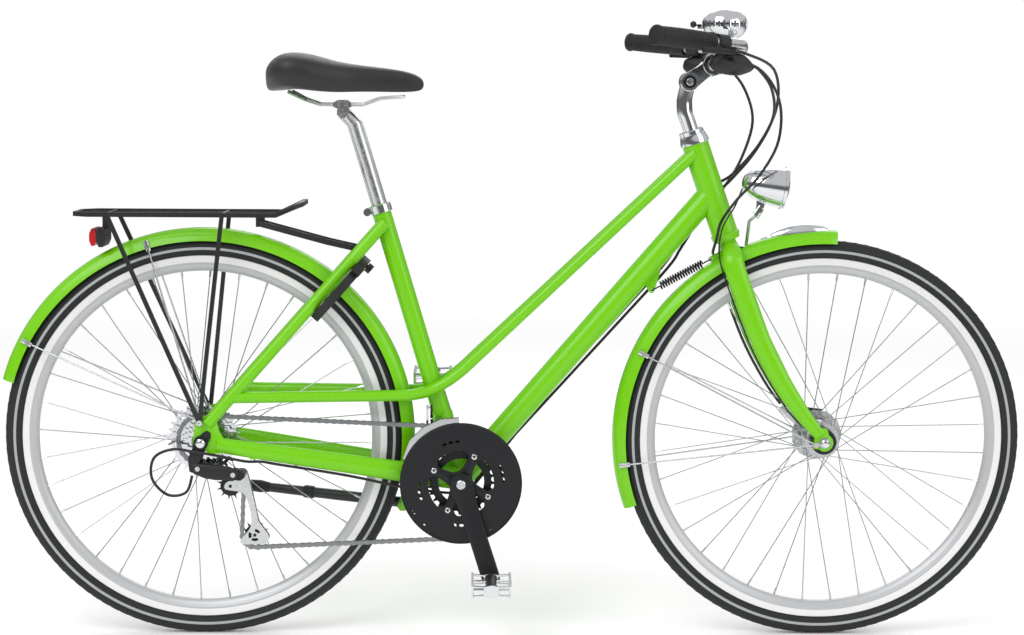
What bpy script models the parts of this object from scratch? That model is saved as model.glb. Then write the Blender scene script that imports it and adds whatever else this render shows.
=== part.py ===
# Step-through touring bike with derailleur gears, roller brakes, rack, lamps and a ring lock.
# Metres, +X forward, +Y to the left, +Z up. The origin is on the ground, midway between the axles.
# The drive side is -Y. Solids are built in place and then given the origin of the piece they turn with.

import math

import bmesh
import bpy
from mathutils import Matrix, Vector

# Driving dimensions: geometry of the frame
wheelbase = 1.076
tyre_radius = 0.348
chainstay_length = 0.452
bottom_bracket_drop = 0.072
seat_angle = math.radians(73.3)
seat_tube_length = 0.500
head_angle = math.radians(70.9)
fork_offset = 0.046
fork_length = 0.394
head_tube_length = 0.169

# Fits
gap = 0.0003
running_gap = 0.0006

# Tubes of the frame
head_tube_radius = 0.0225
head_bore_radius = 0.0185
down_tube_radius = 0.0200
seat_tube_radius = 0.0159
twin_tube_radius = 0.0095
seat_stay_radius = 0.0105
bottom_shell_radius = 0.0205
bottom_shell_width = 0.068
rear_hub_width = 0.135
front_hub_width = 0.100
dropout_thickness = 0.006
down_tube_joint = 0.077
twin_tube_joint = 0.0165
twin_level = 0.425
seat_stay_joint = 0.033
bridge_radius = 0.0055

# Fork, headset and stem
steerer_radius = 0.0147
quill_radius = 0.0127
cup_radius = 0.0245
upper_cup_height = 0.0125
lower_cup_height = 0.0100
locknut_height = 0.0090
fork_crown_half = 0.0125
blade_spread = 0.0535
quill_insertion = 0.110
stem_pivot_rise = 0.665
stem_pivot_reach = 0.023
stem_arm_length = 0.0508
stem_arm_angle = math.radians(36)
pivot_eye_radius = 0.0155
bar_clamp_radius = 0.0185

# Wheels
wheel_steps = 27
tyre_half_width = 0.0185
rim_lip_radius = 0.3178
rim_inner_radius = 0.290
rim_half_width = 0.0122
spoke_count = 36
spoke_cross_angle = math.radians(60)
spoke_radius = 0.0013
spoke_head_offset = 0.0017
flange_half = 0.0029
axle_radius = 0.0050
rear_flange_radius = 0.0225
rear_right_flange = -0.0215
rear_left_flange = 0.0345
front_flange_radius = 0.0300
front_right_flange = -0.0290
front_left_flange = 0.0215
rear_spoke_phase = math.radians(7.95)
front_spoke_phase = math.radians(5)

# Brakes
brake_disc_radius = 0.045
rear_brake_outer = 0.0600
front_brake_outer = 0.0440

# Fenders
fender_radius = 0.3580
fender_half_width = 0.0235
fender_lip = 0.0175
fender_wall = 0.0013
rear_fender_start = math.radians(-11)
rear_fender_end = math.radians(164)
front_fender_start = math.radians(86.5)
front_fender_end = math.radians(200)
stay_wire_radius = 0.0018

# Drivetrain
chain_pitch = 0.0127
roller_half = 0.0034
plate_half_height = 0.0040
plate_waist = 0.0029
outer_link_half = 0.0032
inner_link_half = 0.0023
ring_teeth = (28, 38, 48)
ring_spacing = 0.0075
outer_ring_line = -0.0550
ring_thickness = 0.0019
sprocket_teeth = (11, 13, 15, 17, 21, 23, 26, 30)
sprocket_spacing = 0.0048
outer_sprocket_line = -0.0625
sprocket_thickness = 0.0018
hanger_thickness = 0.0030
working_sprocket = 4
pulley_teeth = 11
guide_pulley_place = (0.047, -0.080)
tension_pulley_arm = 0.0955
tension_pulley_angle = math.radians(-64)
crank_length = 0.170
crank_angle = math.radians(-72)
guard_radius = 0.105
bolt_circle = 0.052
spider_turn = math.radians(64)
spindle_radius = 0.0085
pedal_axle_radius = 0.0060
pedal_inner_face = 0.0900
pedal_length = 0.068
pedal_width = 0.090
pedal_height = 0.026
pedal_axle_end = pedal_inner_face + pedal_width + 0.0060

# Rack and lamps
rack_height = 0.738
rack_half_width = 0.060
rack_tube_radius = 0.0050
rack_rear_reach = 0.216
rack_front_reach = 0.129
rack_leg_rear = -0.159
rack_leg_front = 0.037

# Saddle
saddle_rear = 0.108
saddle_length = 0.276
saddle_top = 1.0172
saddle_half_width = 0.086
seatpost_radius = 0.0136
seatpost_insertion = 0.120
seatpost_drop = 0.080
rail_spread = 0.022
rail_radius = 0.0035

# Cockpit
bar_radius = 0.0111
bar_clamp_zone = 0.0127
grip_radius = 0.0168
grip_length = 0.122
grip_end = (0.752, -0.2975, 1.0425)
grip_direction = Vector((-0.817, -0.574, 0.081)).normalized()
bar_straight = 0.163
clamp_place = 0.141
lever_reach = 0.078

# Ring lock
lock_centre_radius = 0.3475
lock_ring_radius = 0.0680
lock_depth = 0.0150
lock_wall = 0.0070
lock_opening_half = math.radians(34)
shackle_radius = 0.0038
shackle_span = math.radians(112)
shackle_start = math.radians(24)

# Colours, roughness and metallic value of each finish
finishes = {
    "green_paint": ((0.18, 0.62, 0.01), 0.25, 0.0),
    "polished_metal": ((0.78, 0.78, 0.78), 0.18, 1.0),
    "chrome": ((0.85, 0.85, 0.86), 0.06, 1.0),
    "brushed_metal": ((0.62, 0.62, 0.63), 0.35, 1.0),
    "black_paint": ((0.02, 0.02, 0.02), 0.35, 0.0),
    "black_plastic": ((0.025, 0.025, 0.025), 0.50, 0.0),
    "black_rubber": ((0.015, 0.015, 0.015), 0.80, 0.0),
    "black_leather": ((0.02, 0.02, 0.02), 0.55, 0.0),
    "rim_metal": ((0.70, 0.70, 0.71), 0.30, 1.0),
    "red_plastic": ((0.60, 0.02, 0.02), 0.20, 0.0),
    "clear_plastic": ((0.85, 0.88, 0.90), 0.10, 0.0),
    "cable_black": ((0.012, 0.012, 0.012), 0.40, 0.0),
}


# Points of the frame geometry
rear_axle = Vector((-wheelbase / 2, 0, tyre_radius))
front_axle = Vector((wheelbase / 2, 0, tyre_radius))
bottom_bracket = rear_axle + Vector(
    (math.sqrt(chainstay_length**2 - bottom_bracket_drop**2), 0, -bottom_bracket_drop)
)
seat_axis = Vector((-math.cos(seat_angle), 0, math.sin(seat_angle)))
seat_top = bottom_bracket + seat_axis * seat_tube_length
steer_axis = Vector((-math.cos(head_angle), 0, math.sin(head_angle)))
steer_forward = Vector((math.sin(head_angle), 0, math.cos(head_angle)))
steer_foot = front_axle - steer_forward * fork_offset
across = Vector((0, 1, 0))
upward = Vector((0, 0, 1))
forward = Vector((1, 0, 0))


def steer(along, ahead=0.0, side=0.0):
    # A point given along the steering axis, ahead of it and to its left
    return steer_foot + steer_axis * along + steer_forward * ahead + across * side


def from_rear(x, z, y=0.0):
    # A point given forward of the rear axle, at a height above the ground
    return Vector((rear_axle.x + x, y, z))


def on_wheel(centre, radius, angle, y=0.0):
    return centre + Vector((math.cos(angle) * radius, y, math.sin(angle) * radius))


def bore_for(shaft, steps, clearance=gap):
    # Corner radius of a faceted bore whose flats clear a round shaft
    return (shaft + clearance) / math.cos(math.pi / steps)


def mirrored(points, side):
    return [Vector((p.x, p.y * side, p.z)) for p in points]


# Scene, materials and objects
for old in list(bpy.data.objects):
    bpy.data.objects.remove(old, do_unlink=True)


def make_material(name):
    colour, roughness, metallic = finishes[name]
    material = bpy.data.materials.new(name)
    material.use_nodes = True
    shader = material.node_tree.nodes["Principled BSDF"]
    shader.inputs["Base Color"].default_value = (*colour, 1.0)
    shader.inputs["Roughness"].default_value = roughness
    shader.inputs["Metallic"].default_value = metallic
    return material


materials = {name: make_material(name) for name in finishes}


def add_object(name, data, finish):
    thing = bpy.data.objects.new(name, data)
    bpy.context.scene.collection.objects.link(thing)
    if finish:
        data.materials.clear()
        data.materials.append(materials[finish])
    return thing


def add_mesh(name, bm, finish=None, sharp=35):
    bmesh.ops.remove_doubles(bm, verts=bm.verts, dist=1e-7)
    bmesh.ops.recalc_face_normals(bm, faces=bm.faces)
    mesh = bpy.data.meshes.new(name)
    bm.to_mesh(mesh)
    bm.free()
    mesh.shade_smooth()
    mesh.set_sharp_from_angle(angle=math.radians(sharp))
    return add_object(name, mesh, finish)


def combine(base, others, operation):
    # Boolean of a base with other solids, applied, with the others used up
    for other in others:
        boolean = base.modifiers.new("join", "BOOLEAN")
        boolean.operation = operation
        boolean.solver = "MANIFOLD"
        boolean.object = other
        graph = bpy.context.evaluated_depsgraph_get()
        mesh = bpy.data.meshes.new_from_object(base.evaluated_get(graph))
        base.modifiers.remove(boolean)
        used = base.data
        base.data = mesh
        bpy.data.meshes.remove(used)
        bpy.data.objects.remove(other, do_unlink=True)
    return base


def fuse(base, *others):
    return combine(base, others, "UNION")


def cut(base, *others):
    return combine(base, others, "DIFFERENCE")


def paint(thing, finish):
    # Merges the flat faces that booleans split, then gives the piece its finish
    bm = bmesh.new()
    bm.from_mesh(thing.data)
    bmesh.ops.dissolve_limit(bm, angle_limit=math.radians(0.5), verts=bm.verts, edges=bm.edges)
    bmesh.ops.triangulate(bm, faces=bm.faces)
    if all(len(edge.link_faces) == 2 for edge in bm.edges):
        bm.to_mesh(thing.data)
    bm.free()
    thing.data.materials.clear()
    thing.data.materials.append(materials[finish])
    thing.data.shade_smooth()
    thing.data.set_sharp_from_angle(angle=math.radians(35))
    return thing


bodies = {}


def add_body(name, pivot, parent=None):
    # An empty on the axis of a joint, which carries the pieces that move together
    empty = bpy.data.objects.new(name + "_pivot", None)
    bpy.context.scene.collection.objects.link(empty)
    empty.empty_display_size = 0.03
    empty.location = pivot
    if parent:
        empty.parent = bodies[parent]
        empty.location = Vector(pivot) - world_place(bodies[parent])
    bodies[name] = empty
    return empty


def world_place(thing):
    place = Vector(thing.location)
    while thing.parent:
        thing = thing.parent
        place += Vector(thing.location)
    return place


def carry(body, *things):
    # Gives each piece the origin of its body and hangs it there
    pivot = world_place(bodies[body])
    for thing in things:
        thing.data.transform(Matrix.Translation(-pivot))
        thing.parent = bodies[body]
    return things[0]


# Shapes
def skin(name, rings, finish=None, loop=False):
    # A closed solid through a row of rings with equally many points
    bm = bmesh.new()
    rows = [[bm.verts.new(p) for p in ring] for ring in rings]
    count = len(rows[0])
    pairs = list(zip(rows, rows[1:]))
    if loop:
        pairs.append((rows[-1], rows[0]))
    for low, high in pairs:
        for i in range(count):
            j = (i + 1) % count
            bm.faces.new((low[i], low[j], high[j], high[i]))
    if not loop:
        bm.faces.new(rows[0])
        bm.faces.new(rows[-1])
    return add_mesh(name, bm, finish)


def tangents(path, loop=False):
    out = []
    last = len(path) - 1
    for i in range(len(path)):
        before = path[i - 1] if i or loop else path[0]
        after = path[(i + 1) % len(path)] if i < last or loop else path[last]
        out.append((after - before).normalized())
    return out


def sweep(name, path, radius, finish=None, sides=8, side=across, turn=0.5, loop=False):
    # A tube along a path. radius is one number, or a pair (along side, across it) for each point
    path = [Vector(p) for p in path]
    rings = []
    for i, (point, along) in enumerate(zip(path, tangents(path, loop))):
        first = (side - along * side.dot(along)).normalized()
        second = along.cross(first)
        size = radius[i] if isinstance(radius, (list, tuple)) else (radius, radius)
        if not isinstance(size, (list, tuple)):
            size = (size, size)
        ring = []
        for k in range(sides):
            angle = 2 * math.pi * (k + turn) / sides
            ring.append(point + first * size[0] * math.cos(angle) + second * size[1] * math.sin(angle))
        rings.append(ring)
    return skin(name, rings, finish, loop)


def rod(name, start, end, radius, finish=None, sides=10, side=None, turn=0.5):
    start, end = Vector(start), Vector(end)
    along = (end - start).normalized()
    if side is None:
        side = across if abs(along.y) < 0.9 else upward
    return sweep(name, [start, end], radius, finish, sides, side, turn)


def slab(name, start, end, half_side, half_across, side=across):
    # A straight bar of rectangular section
    root = math.sqrt(2)
    return sweep(name, [start, end], [(half_side * root, half_across * root)] * 2, None, 4, side)


def lathe(name, profile, origin, axis, finish=None, steps=16, ring=False, phase=0.0):
    # Turns a profile of (radius, distance along the axis). ring closes the profile on itself
    axis = Vector(axis).normalized()
    first = across if abs(axis.y) < 0.9 else forward
    first = (first - axis * first.dot(axis)).normalized()
    second = axis.cross(first)
    origin = Vector(origin)
    bm = bmesh.new()
    rows = []
    for radius, along in profile:
        centre = origin + axis * along
        if radius < 1e-6:
            rows.append([bm.verts.new(centre)] * steps)
            continue
        row = []
        for k in range(steps):
            angle = 2 * math.pi * k / steps + phase
            out = first * math.cos(angle) + second * math.sin(angle)
            row.append(bm.verts.new(centre + out * radius))
        rows.append(row)
    pairs = list(zip(rows, rows[1:]))
    if ring:
        pairs.append((rows[-1], rows[0]))
    for low, high in pairs:
        for k in range(steps):
            j = (k + 1) % steps
            corners = []
            for v in (low[k], low[j], high[j], high[k]):
                if v not in corners:
                    corners.append(v)
            if len(corners) > 2:
                bm.faces.new(corners)
    if not ring:
        for row in (rows[0], rows[-1]):
            if row[0] is not row[1]:
                bm.faces.new(row)
    return add_mesh(name, bm, finish)


def hull_outline(circles, steps=8):
    # Outline of a belt pulled round circles given as (x, y, radius)
    dots = []
    for x, y, radius in circles:
        for k in range(steps):
            angle = 2 * math.pi * (k + 0.5) / steps
            dots.append((x + radius * math.cos(angle), y + radius * math.sin(angle)))
    dots = sorted(set(dots))

    def chain_of(row):
        out = []
        for dot in row:
            while len(out) > 1 and (
                (out[-1][0] - out[-2][0]) * (dot[1] - out[-2][1])
                - (out[-1][1] - out[-2][1]) * (dot[0] - out[-2][0])
            ) <= 1e-12:
                out.pop()
            out.append(dot)
        return out[:-1]

    return chain_of(dots) + chain_of(dots[::-1])


def circle_outline(x, y, radius, steps=8, phase=0.5):
    angles = [2 * math.pi * (k + phase) / steps for k in range(steps)]
    return [(x + radius * math.cos(a), y + radius * math.sin(a)) for a in angles]


def plate(name, outline, depth, origin, finish=None, u=forward, v=upward, holes=()):
    # A flat plate: outline and holes lie in the plane of u and v, and depth is along u x v
    bm = bmesh.new()
    edges = []
    origin = Vector(origin)
    for loop in (outline, *holes):
        row = [bm.verts.new(origin + u * a + v * b) for a, b in loop]
        edges += [bm.edges.new((p, q)) for p, q in zip(row, row[1:] + row[:1])]
    filled = bmesh.ops.triangle_fill(bm, use_beauty=True, edges=edges)
    faces = [f for f in filled["geom"] if isinstance(f, bmesh.types.BMFace)]
    moved = bmesh.ops.extrude_face_region(bm, geom=faces)
    points = [p for p in moved["geom"] if isinstance(p, bmesh.types.BMVert)]
    bmesh.ops.translate(bm, verts=points, vec=u.cross(v) * depth)
    return add_mesh(name, bm, finish)


def smooth_path(points, steps):
    # A smooth curve through the points, with the same number of steps between each two
    points = [Vector(p) for p in points]
    row = [points[0] * 2 - points[1]] + points + [points[-1] * 2 - points[-2]]
    out = []
    for a, b, c, d in zip(row, row[1:], row[2:], row[3:]):
        for k in range(steps):
            t = k / steps
            out.append(
                0.5
                * (
                    b * 2
                    + (c - a) * t
                    + (a * 2 - b * 5 + c * 4 - d) * t**2
                    + (b * 3 - a - c * 3 + d) * t**3
                )
            )
    out.append(points[-1])
    return out


def cable(name, points, radius, finish, steps=3, resolution=2):
    # A cable or wire as a bevelled curve on a smooth route
    curve = bpy.data.curves.new(name, "CURVE")
    curve.dimensions = "3D"
    curve.bevel_depth = radius
    curve.bevel_resolution = resolution
    curve.use_fill_caps = True
    route = smooth_path(points, steps)
    spline = curve.splines.new("POLY")
    spline.points.add(len(route) - 1)
    for slot, point in zip(spline.points, route):
        slot.co = (*point, 1.0)
    return add_object(name, curve, finish)


# Wheels
def tyre_profile():
    half = [(tyre_radius, 0.0085), (tyre_radius - 0.0150, tyre_half_width), (rim_lip_radius + gap, 0.0112)]
    return half + [(r, -y) for r, y in reversed(half)]


def rim_profile():
    half = [(rim_lip_radius, rim_half_width), (rim_inner_radius, 0.0040)]
    return half + [(r, -y) for r, y in reversed(half)]


def spoke_solid(centre, right_flange, left_flange, flange_radius, phase):
    # All spokes of a wheel, crossed three times. Each has three sides that run to a point at the rim
    bm = bmesh.new()
    step = 2 * math.pi / spoke_count
    reach = rim_inner_radius * math.cos(math.pi / wheel_steps) - gap
    for k in range(spoke_count):
        flange = right_flange if k % 2 == 0 else left_flange
        lead = 1 if (k // 2) % 2 == 0 else -1
        angle = phase + k * step
        outer = on_wheel(centre, reach, angle, 0.0)
        inner = on_wheel(
            centre,
            flange_radius - 0.0035,
            angle + lead * spoke_cross_angle,
            flange + lead * spoke_head_offset,
        )
        along = (outer - inner).normalized()
        first = (across - along * across.dot(along)).normalized()
        second = along.cross(first)
        corners = []
        for c in range(3):
            turn = 2 * math.pi * c / 3
            out = first * math.cos(turn) + second * math.sin(turn)
            corners.append(bm.verts.new(inner + out * spoke_radius))
        tip = bm.verts.new(outer)
        for c in range(3):
            bm.faces.new((corners[c], corners[(c + 1) % 3], tip))
        bm.faces.new(corners)
    return add_mesh("spoke_set", bm)


def make_wheel(name, centre, right_flange, left_flange, flange_radius, barrel, phase):
    tyre = lathe(name + "_tyre", tyre_profile(), centre, across, "black_rubber", wheel_steps, True)
    rim = lathe(name + "_rim", rim_profile(), centre, across, "rim_metal", wheel_steps, True)
    bore = bore_for(axle_radius, 9, running_gap)
    profile = [
        (bore, right_flange - flange_half),
        (flange_radius, right_flange - flange_half),
        (flange_radius, right_flange + flange_half),
        (barrel, right_flange + 0.008),
        (barrel, left_flange - 0.008),
        (flange_radius, left_flange - flange_half),
        (flange_radius, left_flange + flange_half),
        (bore, left_flange + flange_half),
    ]
    turn = -(phase + math.radians(35))
    hub = lathe(name + "_hub", profile, centre, across, None, 9, True, turn)
    spokes = spoke_solid(centre, right_flange, left_flange, flange_radius, phase)
    paint(fuse(hub, spokes), "brushed_metal")
    carry(name, tyre, rim, hub)


def make_axle(name, body, centre, half_width, inner_right, brake, arm_end, washer=0.0):
    # Axle with lock nuts against the dropouts and nuts outside them. The roller brake's drum, its
    # cooling disc and the reaction arm are held on it on the left
    nut = 0.0090
    outside = half_width + dropout_thickness + gap
    right = outside + washer
    inner, outer = brake
    profile = [
        (axle_radius, -right - 0.0105),
        (nut, -right - 0.0075),
        (nut, -right),
        (axle_radius, -right),
        (axle_radius, -half_width + gap),
        (nut, -half_width + gap),
        (nut, inner_right),
        (axle_radius, inner_right),
        (axle_radius, outside),
        (nut, outside),
        (nut, outside + 0.0075),
        (axle_radius, outside + 0.0105),
    ]
    axle = lathe(name, profile, centre, across, "polished_metal", 6)
    disc = outer - 0.006
    profile = [
        (0.0, inner),
        (0.0290, inner),
        (0.0290, disc - 0.001),
        (brake_disc_radius, disc - 0.001),
        (brake_disc_radius, disc + 0.001),
        (0.0110, outer),
        (0.0, outer),
    ]
    drum = lathe("drum", profile, centre, across, None, 11)
    arm_start = centre + (arm_end - centre).normalized() * 0.015
    arm_start.y = outer - 0.0035
    arm = sweep("arm", [arm_start, arm_end], [(0.0022, 0.0110), (0.0018, 0.0065)], None, 6)
    carry(body, paint(fuse(axle, drum, arm), "polished_metal"))


# Frame
def stay_point(fraction):
    # A point on the right seat stay's centre line, from the seat tube to the dropout
    top = bottom_bracket + seat_axis * (seat_tube_length - seat_stay_joint)
    low = from_rear(0.0105, tyre_radius + 0.032)
    return top.lerp(low, fraction)


seat_stay_plan = ((0.0, 0.0170), (0.14, 0.0360), (0.30, 0.0420), (1.0, 0.0705))
chain_stay_plan = (
    (0.012, 0.0220, 0.0080, 0.0190),
    (0.060, 0.0295, 0.0075, 0.0185),
    (0.092, 0.0345, 0.0078, 0.0180),
    (0.180, 0.0450, 0.0085, 0.0165),
    (0.330, 0.0620, 0.0085, 0.0145),
    (0.425, 0.0705, 0.0065, 0.0125),
)


def seat_stay_path(side):
    out = []
    for fraction, y in seat_stay_plan:
        point = stay_point(fraction)
        out.append(Vector((point.x, y * side, point.z)))
    return out


def chain_stay_point(distance, y=0.0):
    back = (rear_axle - bottom_bracket).normalized()
    point = bottom_bracket + back * distance
    return Vector((point.x, y, point.z))


# The twin tubes' bend past the seat tube: ahead of it, above the level part and out from its side
twin_bend = (
    (0.0720, 0.0650, -0.0012),
    (0.0495, 0.0438, -0.0008),
    (0.0286, 0.0277, 0.0000),
    (0.0078, 0.0150, 0.0000),
    (-0.0148, 0.0051, 0.0020),
    (-0.0443, 0.0008, 0.0125),
)


def twin_tube_path(side):
    start = steer(fork_length + head_tube_length - twin_tube_joint, -0.006, 0.0145 * side)
    crossing_rise = (twin_level + 0.010 - bottom_bracket.z) / seat_axis.z
    crossing = bottom_bracket + seat_axis * crossing_rise
    outside = seat_tube_radius + twin_tube_radius * 0.80
    stay = (stay_point(0).z - twin_level) / (stay_point(0).z - stay_point(1).z)
    end = stay_point(stay)
    stay_y = 0.0420 + (0.0705 - 0.0420) * (stay - 0.30) / 0.70
    end = Vector((end.x + 0.004, stay_y * side, twin_level))
    path = [start]
    for ahead, rise, spread in twin_bend:
        path.append(Vector((crossing.x + ahead, (outside + spread) * side, twin_level + rise)))
    return path + [end]


def dropout_plate(side):
    # Rear dropout with its axle slot, the eyelet above and behind it, and room for both stays
    inner = rear_hub_width / 2
    outline = [
        (-0.0150, 0.000),
        (-0.0080, 0.041),
        (0.0030, 0.046),
        (0.0240, 0.0460),
        (0.0310, 0.0200),
        (0.0400, 0.0040),
        (0.0380, -0.0180),
        (0.0150, -0.0200),
        (0.0056, -0.0130),
        (0.0056, 0.0035),
        (0.0000, 0.0062),
        (-0.0056, 0.0035),
        (-0.0056, -0.0125),
    ]
    start = inner if side > 0 else -inner - dropout_thickness
    return plate(
        "dropout",
        outline,
        dropout_thickness,
        rear_axle + across * (start + dropout_thickness),
        None,
        holes=[circle_outline(-0.0017, 0.0347, 0.0027, 4)],
    )


# Front derailleur: clamp band on the seat tube, one link and the cage
band_rise = 0.1140
front_link_foot = Vector((0, -0.0400, bottom_bracket.z + 0.1145))
front_link_length = 0.0180
front_link_tilt = math.radians(25)
front_link_head = front_link_foot + Vector(
    (0, -math.sin(front_link_tilt), math.cos(front_link_tilt))
) * front_link_length


def front_derailleur_place(ahead):
    return bottom_bracket.x + ahead


def derailleur_band():
    # Clamp band on the seat tube with the ear and pin for the front derailleur's link
    centre = bottom_bracket + seat_axis * band_rise
    profile = [(0.0, -0.0055), (0.0192, -0.0055), (0.0192, 0.0055), (0.0, 0.0055)]
    foot = front_link_foot
    ear = slab(
        "ear",
        Vector((front_derailleur_place(-0.0465), -0.0120, foot.z)),
        Vector((front_derailleur_place(-0.0465), foot.y - 0.0036, foot.z)),
        0.0036,
        0.0020,
        upward,
    )
    start = Vector((front_derailleur_place(-0.0540), foot.y, foot.z))
    end = Vector((front_derailleur_place(-0.0461), foot.y, foot.z))
    block_start = Vector((front_derailleur_place(-0.0480), -0.0160, foot.z))
    block_end = Vector((front_derailleur_place(-0.0340), -0.0160, foot.z))
    return [
        lathe("band", profile, centre, seat_axis, None, 10),
        ear,
        slab("bridge", block_start, block_end, 0.0040, 0.0036),
        rod("pin", start, end, 0.0018, None, 6),
    ]


def make_frame():
    head_low = fork_length
    head_high = fork_length + head_tube_length
    frame = rod("frame", steer(head_low), steer(head_high), head_tube_radius, None, 12)
    down_top = steer(head_low + down_tube_joint)
    pieces = [rod("down", bottom_bracket, down_top, down_tube_radius, None, 10)]
    pieces.append(rod("seat", bottom_bracket, seat_top, seat_tube_radius, None, 10))
    half = bottom_shell_width / 2
    pieces.append(
        rod("shell", bottom_bracket - across * half, bottom_bracket + across * half, bottom_shell_radius, None, 12)
    )
    for side in (-1, 1):
        pieces.append(sweep("twin", twin_tube_path(side), twin_tube_radius, None, 6))
        pieces.append(sweep("seat_stay", seat_stay_path(side), seat_stay_radius, None, 6))
        path = [chain_stay_point(d, y * side) for d, y, width, depth in chain_stay_plan]
        sizes = [(width, depth) for d, y, width, depth in chain_stay_plan]
        pieces.append(sweep("chain_stay", path, sizes, None, 6))
        pieces.append(dropout_plate(side))
    bridge_centre = fender_radius + bridge_radius + gap + 0.0010
    bridge = stay_bridge_point(bridge_centre)
    pieces.append(rod("bridge", bridge - across * 0.036, bridge + across * 0.036, bridge_radius, None, 6))
    low_bridge = chain_stay_point(0.078)
    pieces.append(
        rod("low_bridge", low_bridge - across * 0.028, low_bridge + across * 0.028, 0.006, None, 6)
    )
    pieces += [spring_tab(), cable_stop(), *headset_cups(), *seat_collar(), *stand_bracket(), *derailleur_band()]
    fuse(frame, *pieces)
    bore = bore_for(steerer_radius, 12, running_gap)
    cut(
        frame,
        rod("bore", steer(head_low - 0.02), steer(head_high + 0.02), bore, None, 12),
        rod(
            "seat_bore",
            seat_top - seat_axis * (seatpost_insertion + seatpost_drop + 0.004),
            seat_top + seat_axis * 0.02,
            bore_for(seatpost_radius, 10),
            None,
            10,
        ),
        rod(
            "shell_bore",
            bottom_bracket - across * 0.05,
            bottom_bracket + across * 0.05,
            bore_for(0.0165, 12),
            None,
            12,
        ),
    )
    carry("frame_body", paint(frame, "green_paint"))


def stay_bridge_point(radius):
    # Where the seat stays' centre plane lies at a distance from the rear axle
    low, high = 0.0, 1.0
    for _ in range(40):
        middle = (low + high) / 2
        if (stay_point(middle) - rear_axle).length > radius:
            low = middle
        else:
            high = middle
    return stay_point(low)


spring_frame_end = from_rear(0.7765, 0.6070)
spring_fork_end = steer(0.3560, -0.0365)


def spring_tab():
    # Ear under the down tube that holds the stabiliser spring
    run = steer(fork_length + down_tube_joint) - bottom_bracket
    drop = down_tube_radius * run.length / run.x - 0.002
    circles = [(spring_frame_end.x, spring_frame_end.z, 0.0050)]
    for ahead, radius in ((-0.006, 0.0075), (0.010, 0.0060)):
        x = spring_frame_end.x + ahead
        circles.append((x, bottom_bracket.z + (x - bottom_bracket.x) * run.z / run.x - drop, radius))
    hole = circle_outline(spring_frame_end.x, spring_frame_end.z, 0.0026, 6)
    return plate("tab", hull_outline(circles, 6), 0.003, Vector((0, 0.0015, 0)), None, holes=[hole])


stop_place = from_rear(0.090, 0.3146)


def cable_stop():
    # Lug under the right chain stay where the derailleur's cable housing ends
    low = (stop_holes[0] + stop_holes[1]) / 2 + Vector((0, 0, housing_radius + gap + 0.0012))
    top = Vector((low.x, low.y + 0.0020, stop_place.z + 0.0180))
    return slab("stop", low, top, 0.0040, 0.0080)


housing_radius = 0.0025
wire_radius = 0.0010
stop_holes = (stop_place + Vector((-0.0130, -0.0662, -0.0004)), stop_place + Vector((0.0140, -0.0643, -0.0010)))


def headset_cups():
    out = []
    for end, direction, height in (
        (fork_length, -1, lower_cup_height),
        (fork_length + head_tube_length, 1, upper_cup_height),
    ):
        profile = [(0.0, -0.0030), (cup_radius, -0.0020), (0.0225, height), (0.0, height)]
        out.append(lathe("cup", profile, steer(end), steer_axis * direction, None, 12))
    return out


def seat_collar():
    profile = [(0.0, -0.0150), (0.0190, -0.0150), (0.0190, -0.0012), (0.0, -0.0012)]
    lug = seat_top - seat_axis * 0.0075 - Vector((seat_axis.z, 0, -seat_axis.x)) * 0.0235
    return [
        lathe("collar", profile, seat_top, seat_axis, None, 10),
        rod("lug", lug - across * 0.0095, lug + across * 0.0095, 0.0062, None, 6),
    ]


# Kickstand under the chain stays
stand_pivot = from_rear(0.345, 0.2255, 0.0300)
stand_foot = from_rear(0.078, 0.2470, 0.0730)
stand_down = Vector((0.17, 0.36, -0.92)).normalized()
stand_hinge = (stand_foot - stand_pivot).normalized().cross(stand_down).normalized()
stay_back = (rear_axle - bottom_bracket).normalized()
stay_up = Vector((stay_back.z, 0, -stay_back.x))


def stand_bracket():
    # Two plates clamped above and below the chain stays, and the block that holds the stand's pin
    def under(back, drop, y=0.0):
        return bottom_bracket + stay_back * back - stay_up * drop + across * y

    block = [under(0.0800, 0.0200, -0.0060), stand_pivot + stand_hinge * 0.0108]
    return [
        slab("low", under(0.0600, 0.0195), under(0.0880, 0.0195), 0.0350, 0.0035),
        sweep("block", block, [(0.0062, 0.0130), (0.0048, 0.0090)], None, 6, stand_hinge),
        rod("lug", stand_pivot + stand_hinge * 0.0065, stand_pivot + stand_hinge * 0.0150, 0.0095, None, 6),
        rod("pin", stand_pivot - stand_hinge * 0.0075, stand_pivot + stand_hinge * 0.0100, 0.0038, None, 6),
    ]


# Assemblies are added to their bodies in this order
add_body("frame_body", (0, 0, 0))
add_body("rear_wheel", rear_axle, "frame_body")
add_body("steering", steer(fork_length), "frame_body")
add_body("front_wheel", front_axle, "steering")

make_frame()
make_wheel("rear_wheel", rear_axle, rear_right_flange, rear_left_flange, rear_flange_radius, 0.0150, rear_spoke_phase)
make_wheel("front_wheel", front_axle, front_right_flange, front_left_flange, front_flange_radius, 0.0250, front_spoke_phase)


# Drivetrain. Angles in the plane of the wheels run from forward towards upward
working_line = outer_sprocket_line + working_sprocket * sprocket_spacing
plate_thickness = 0.0007
tooth_root = 0.0045
tooth_tip = 0.0030
tooth_gap = 0.0034
tooth_land = 0.0008


def pitch_radius(teeth):
    return chain_pitch / (2 * math.sin(math.pi / teeth))


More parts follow.
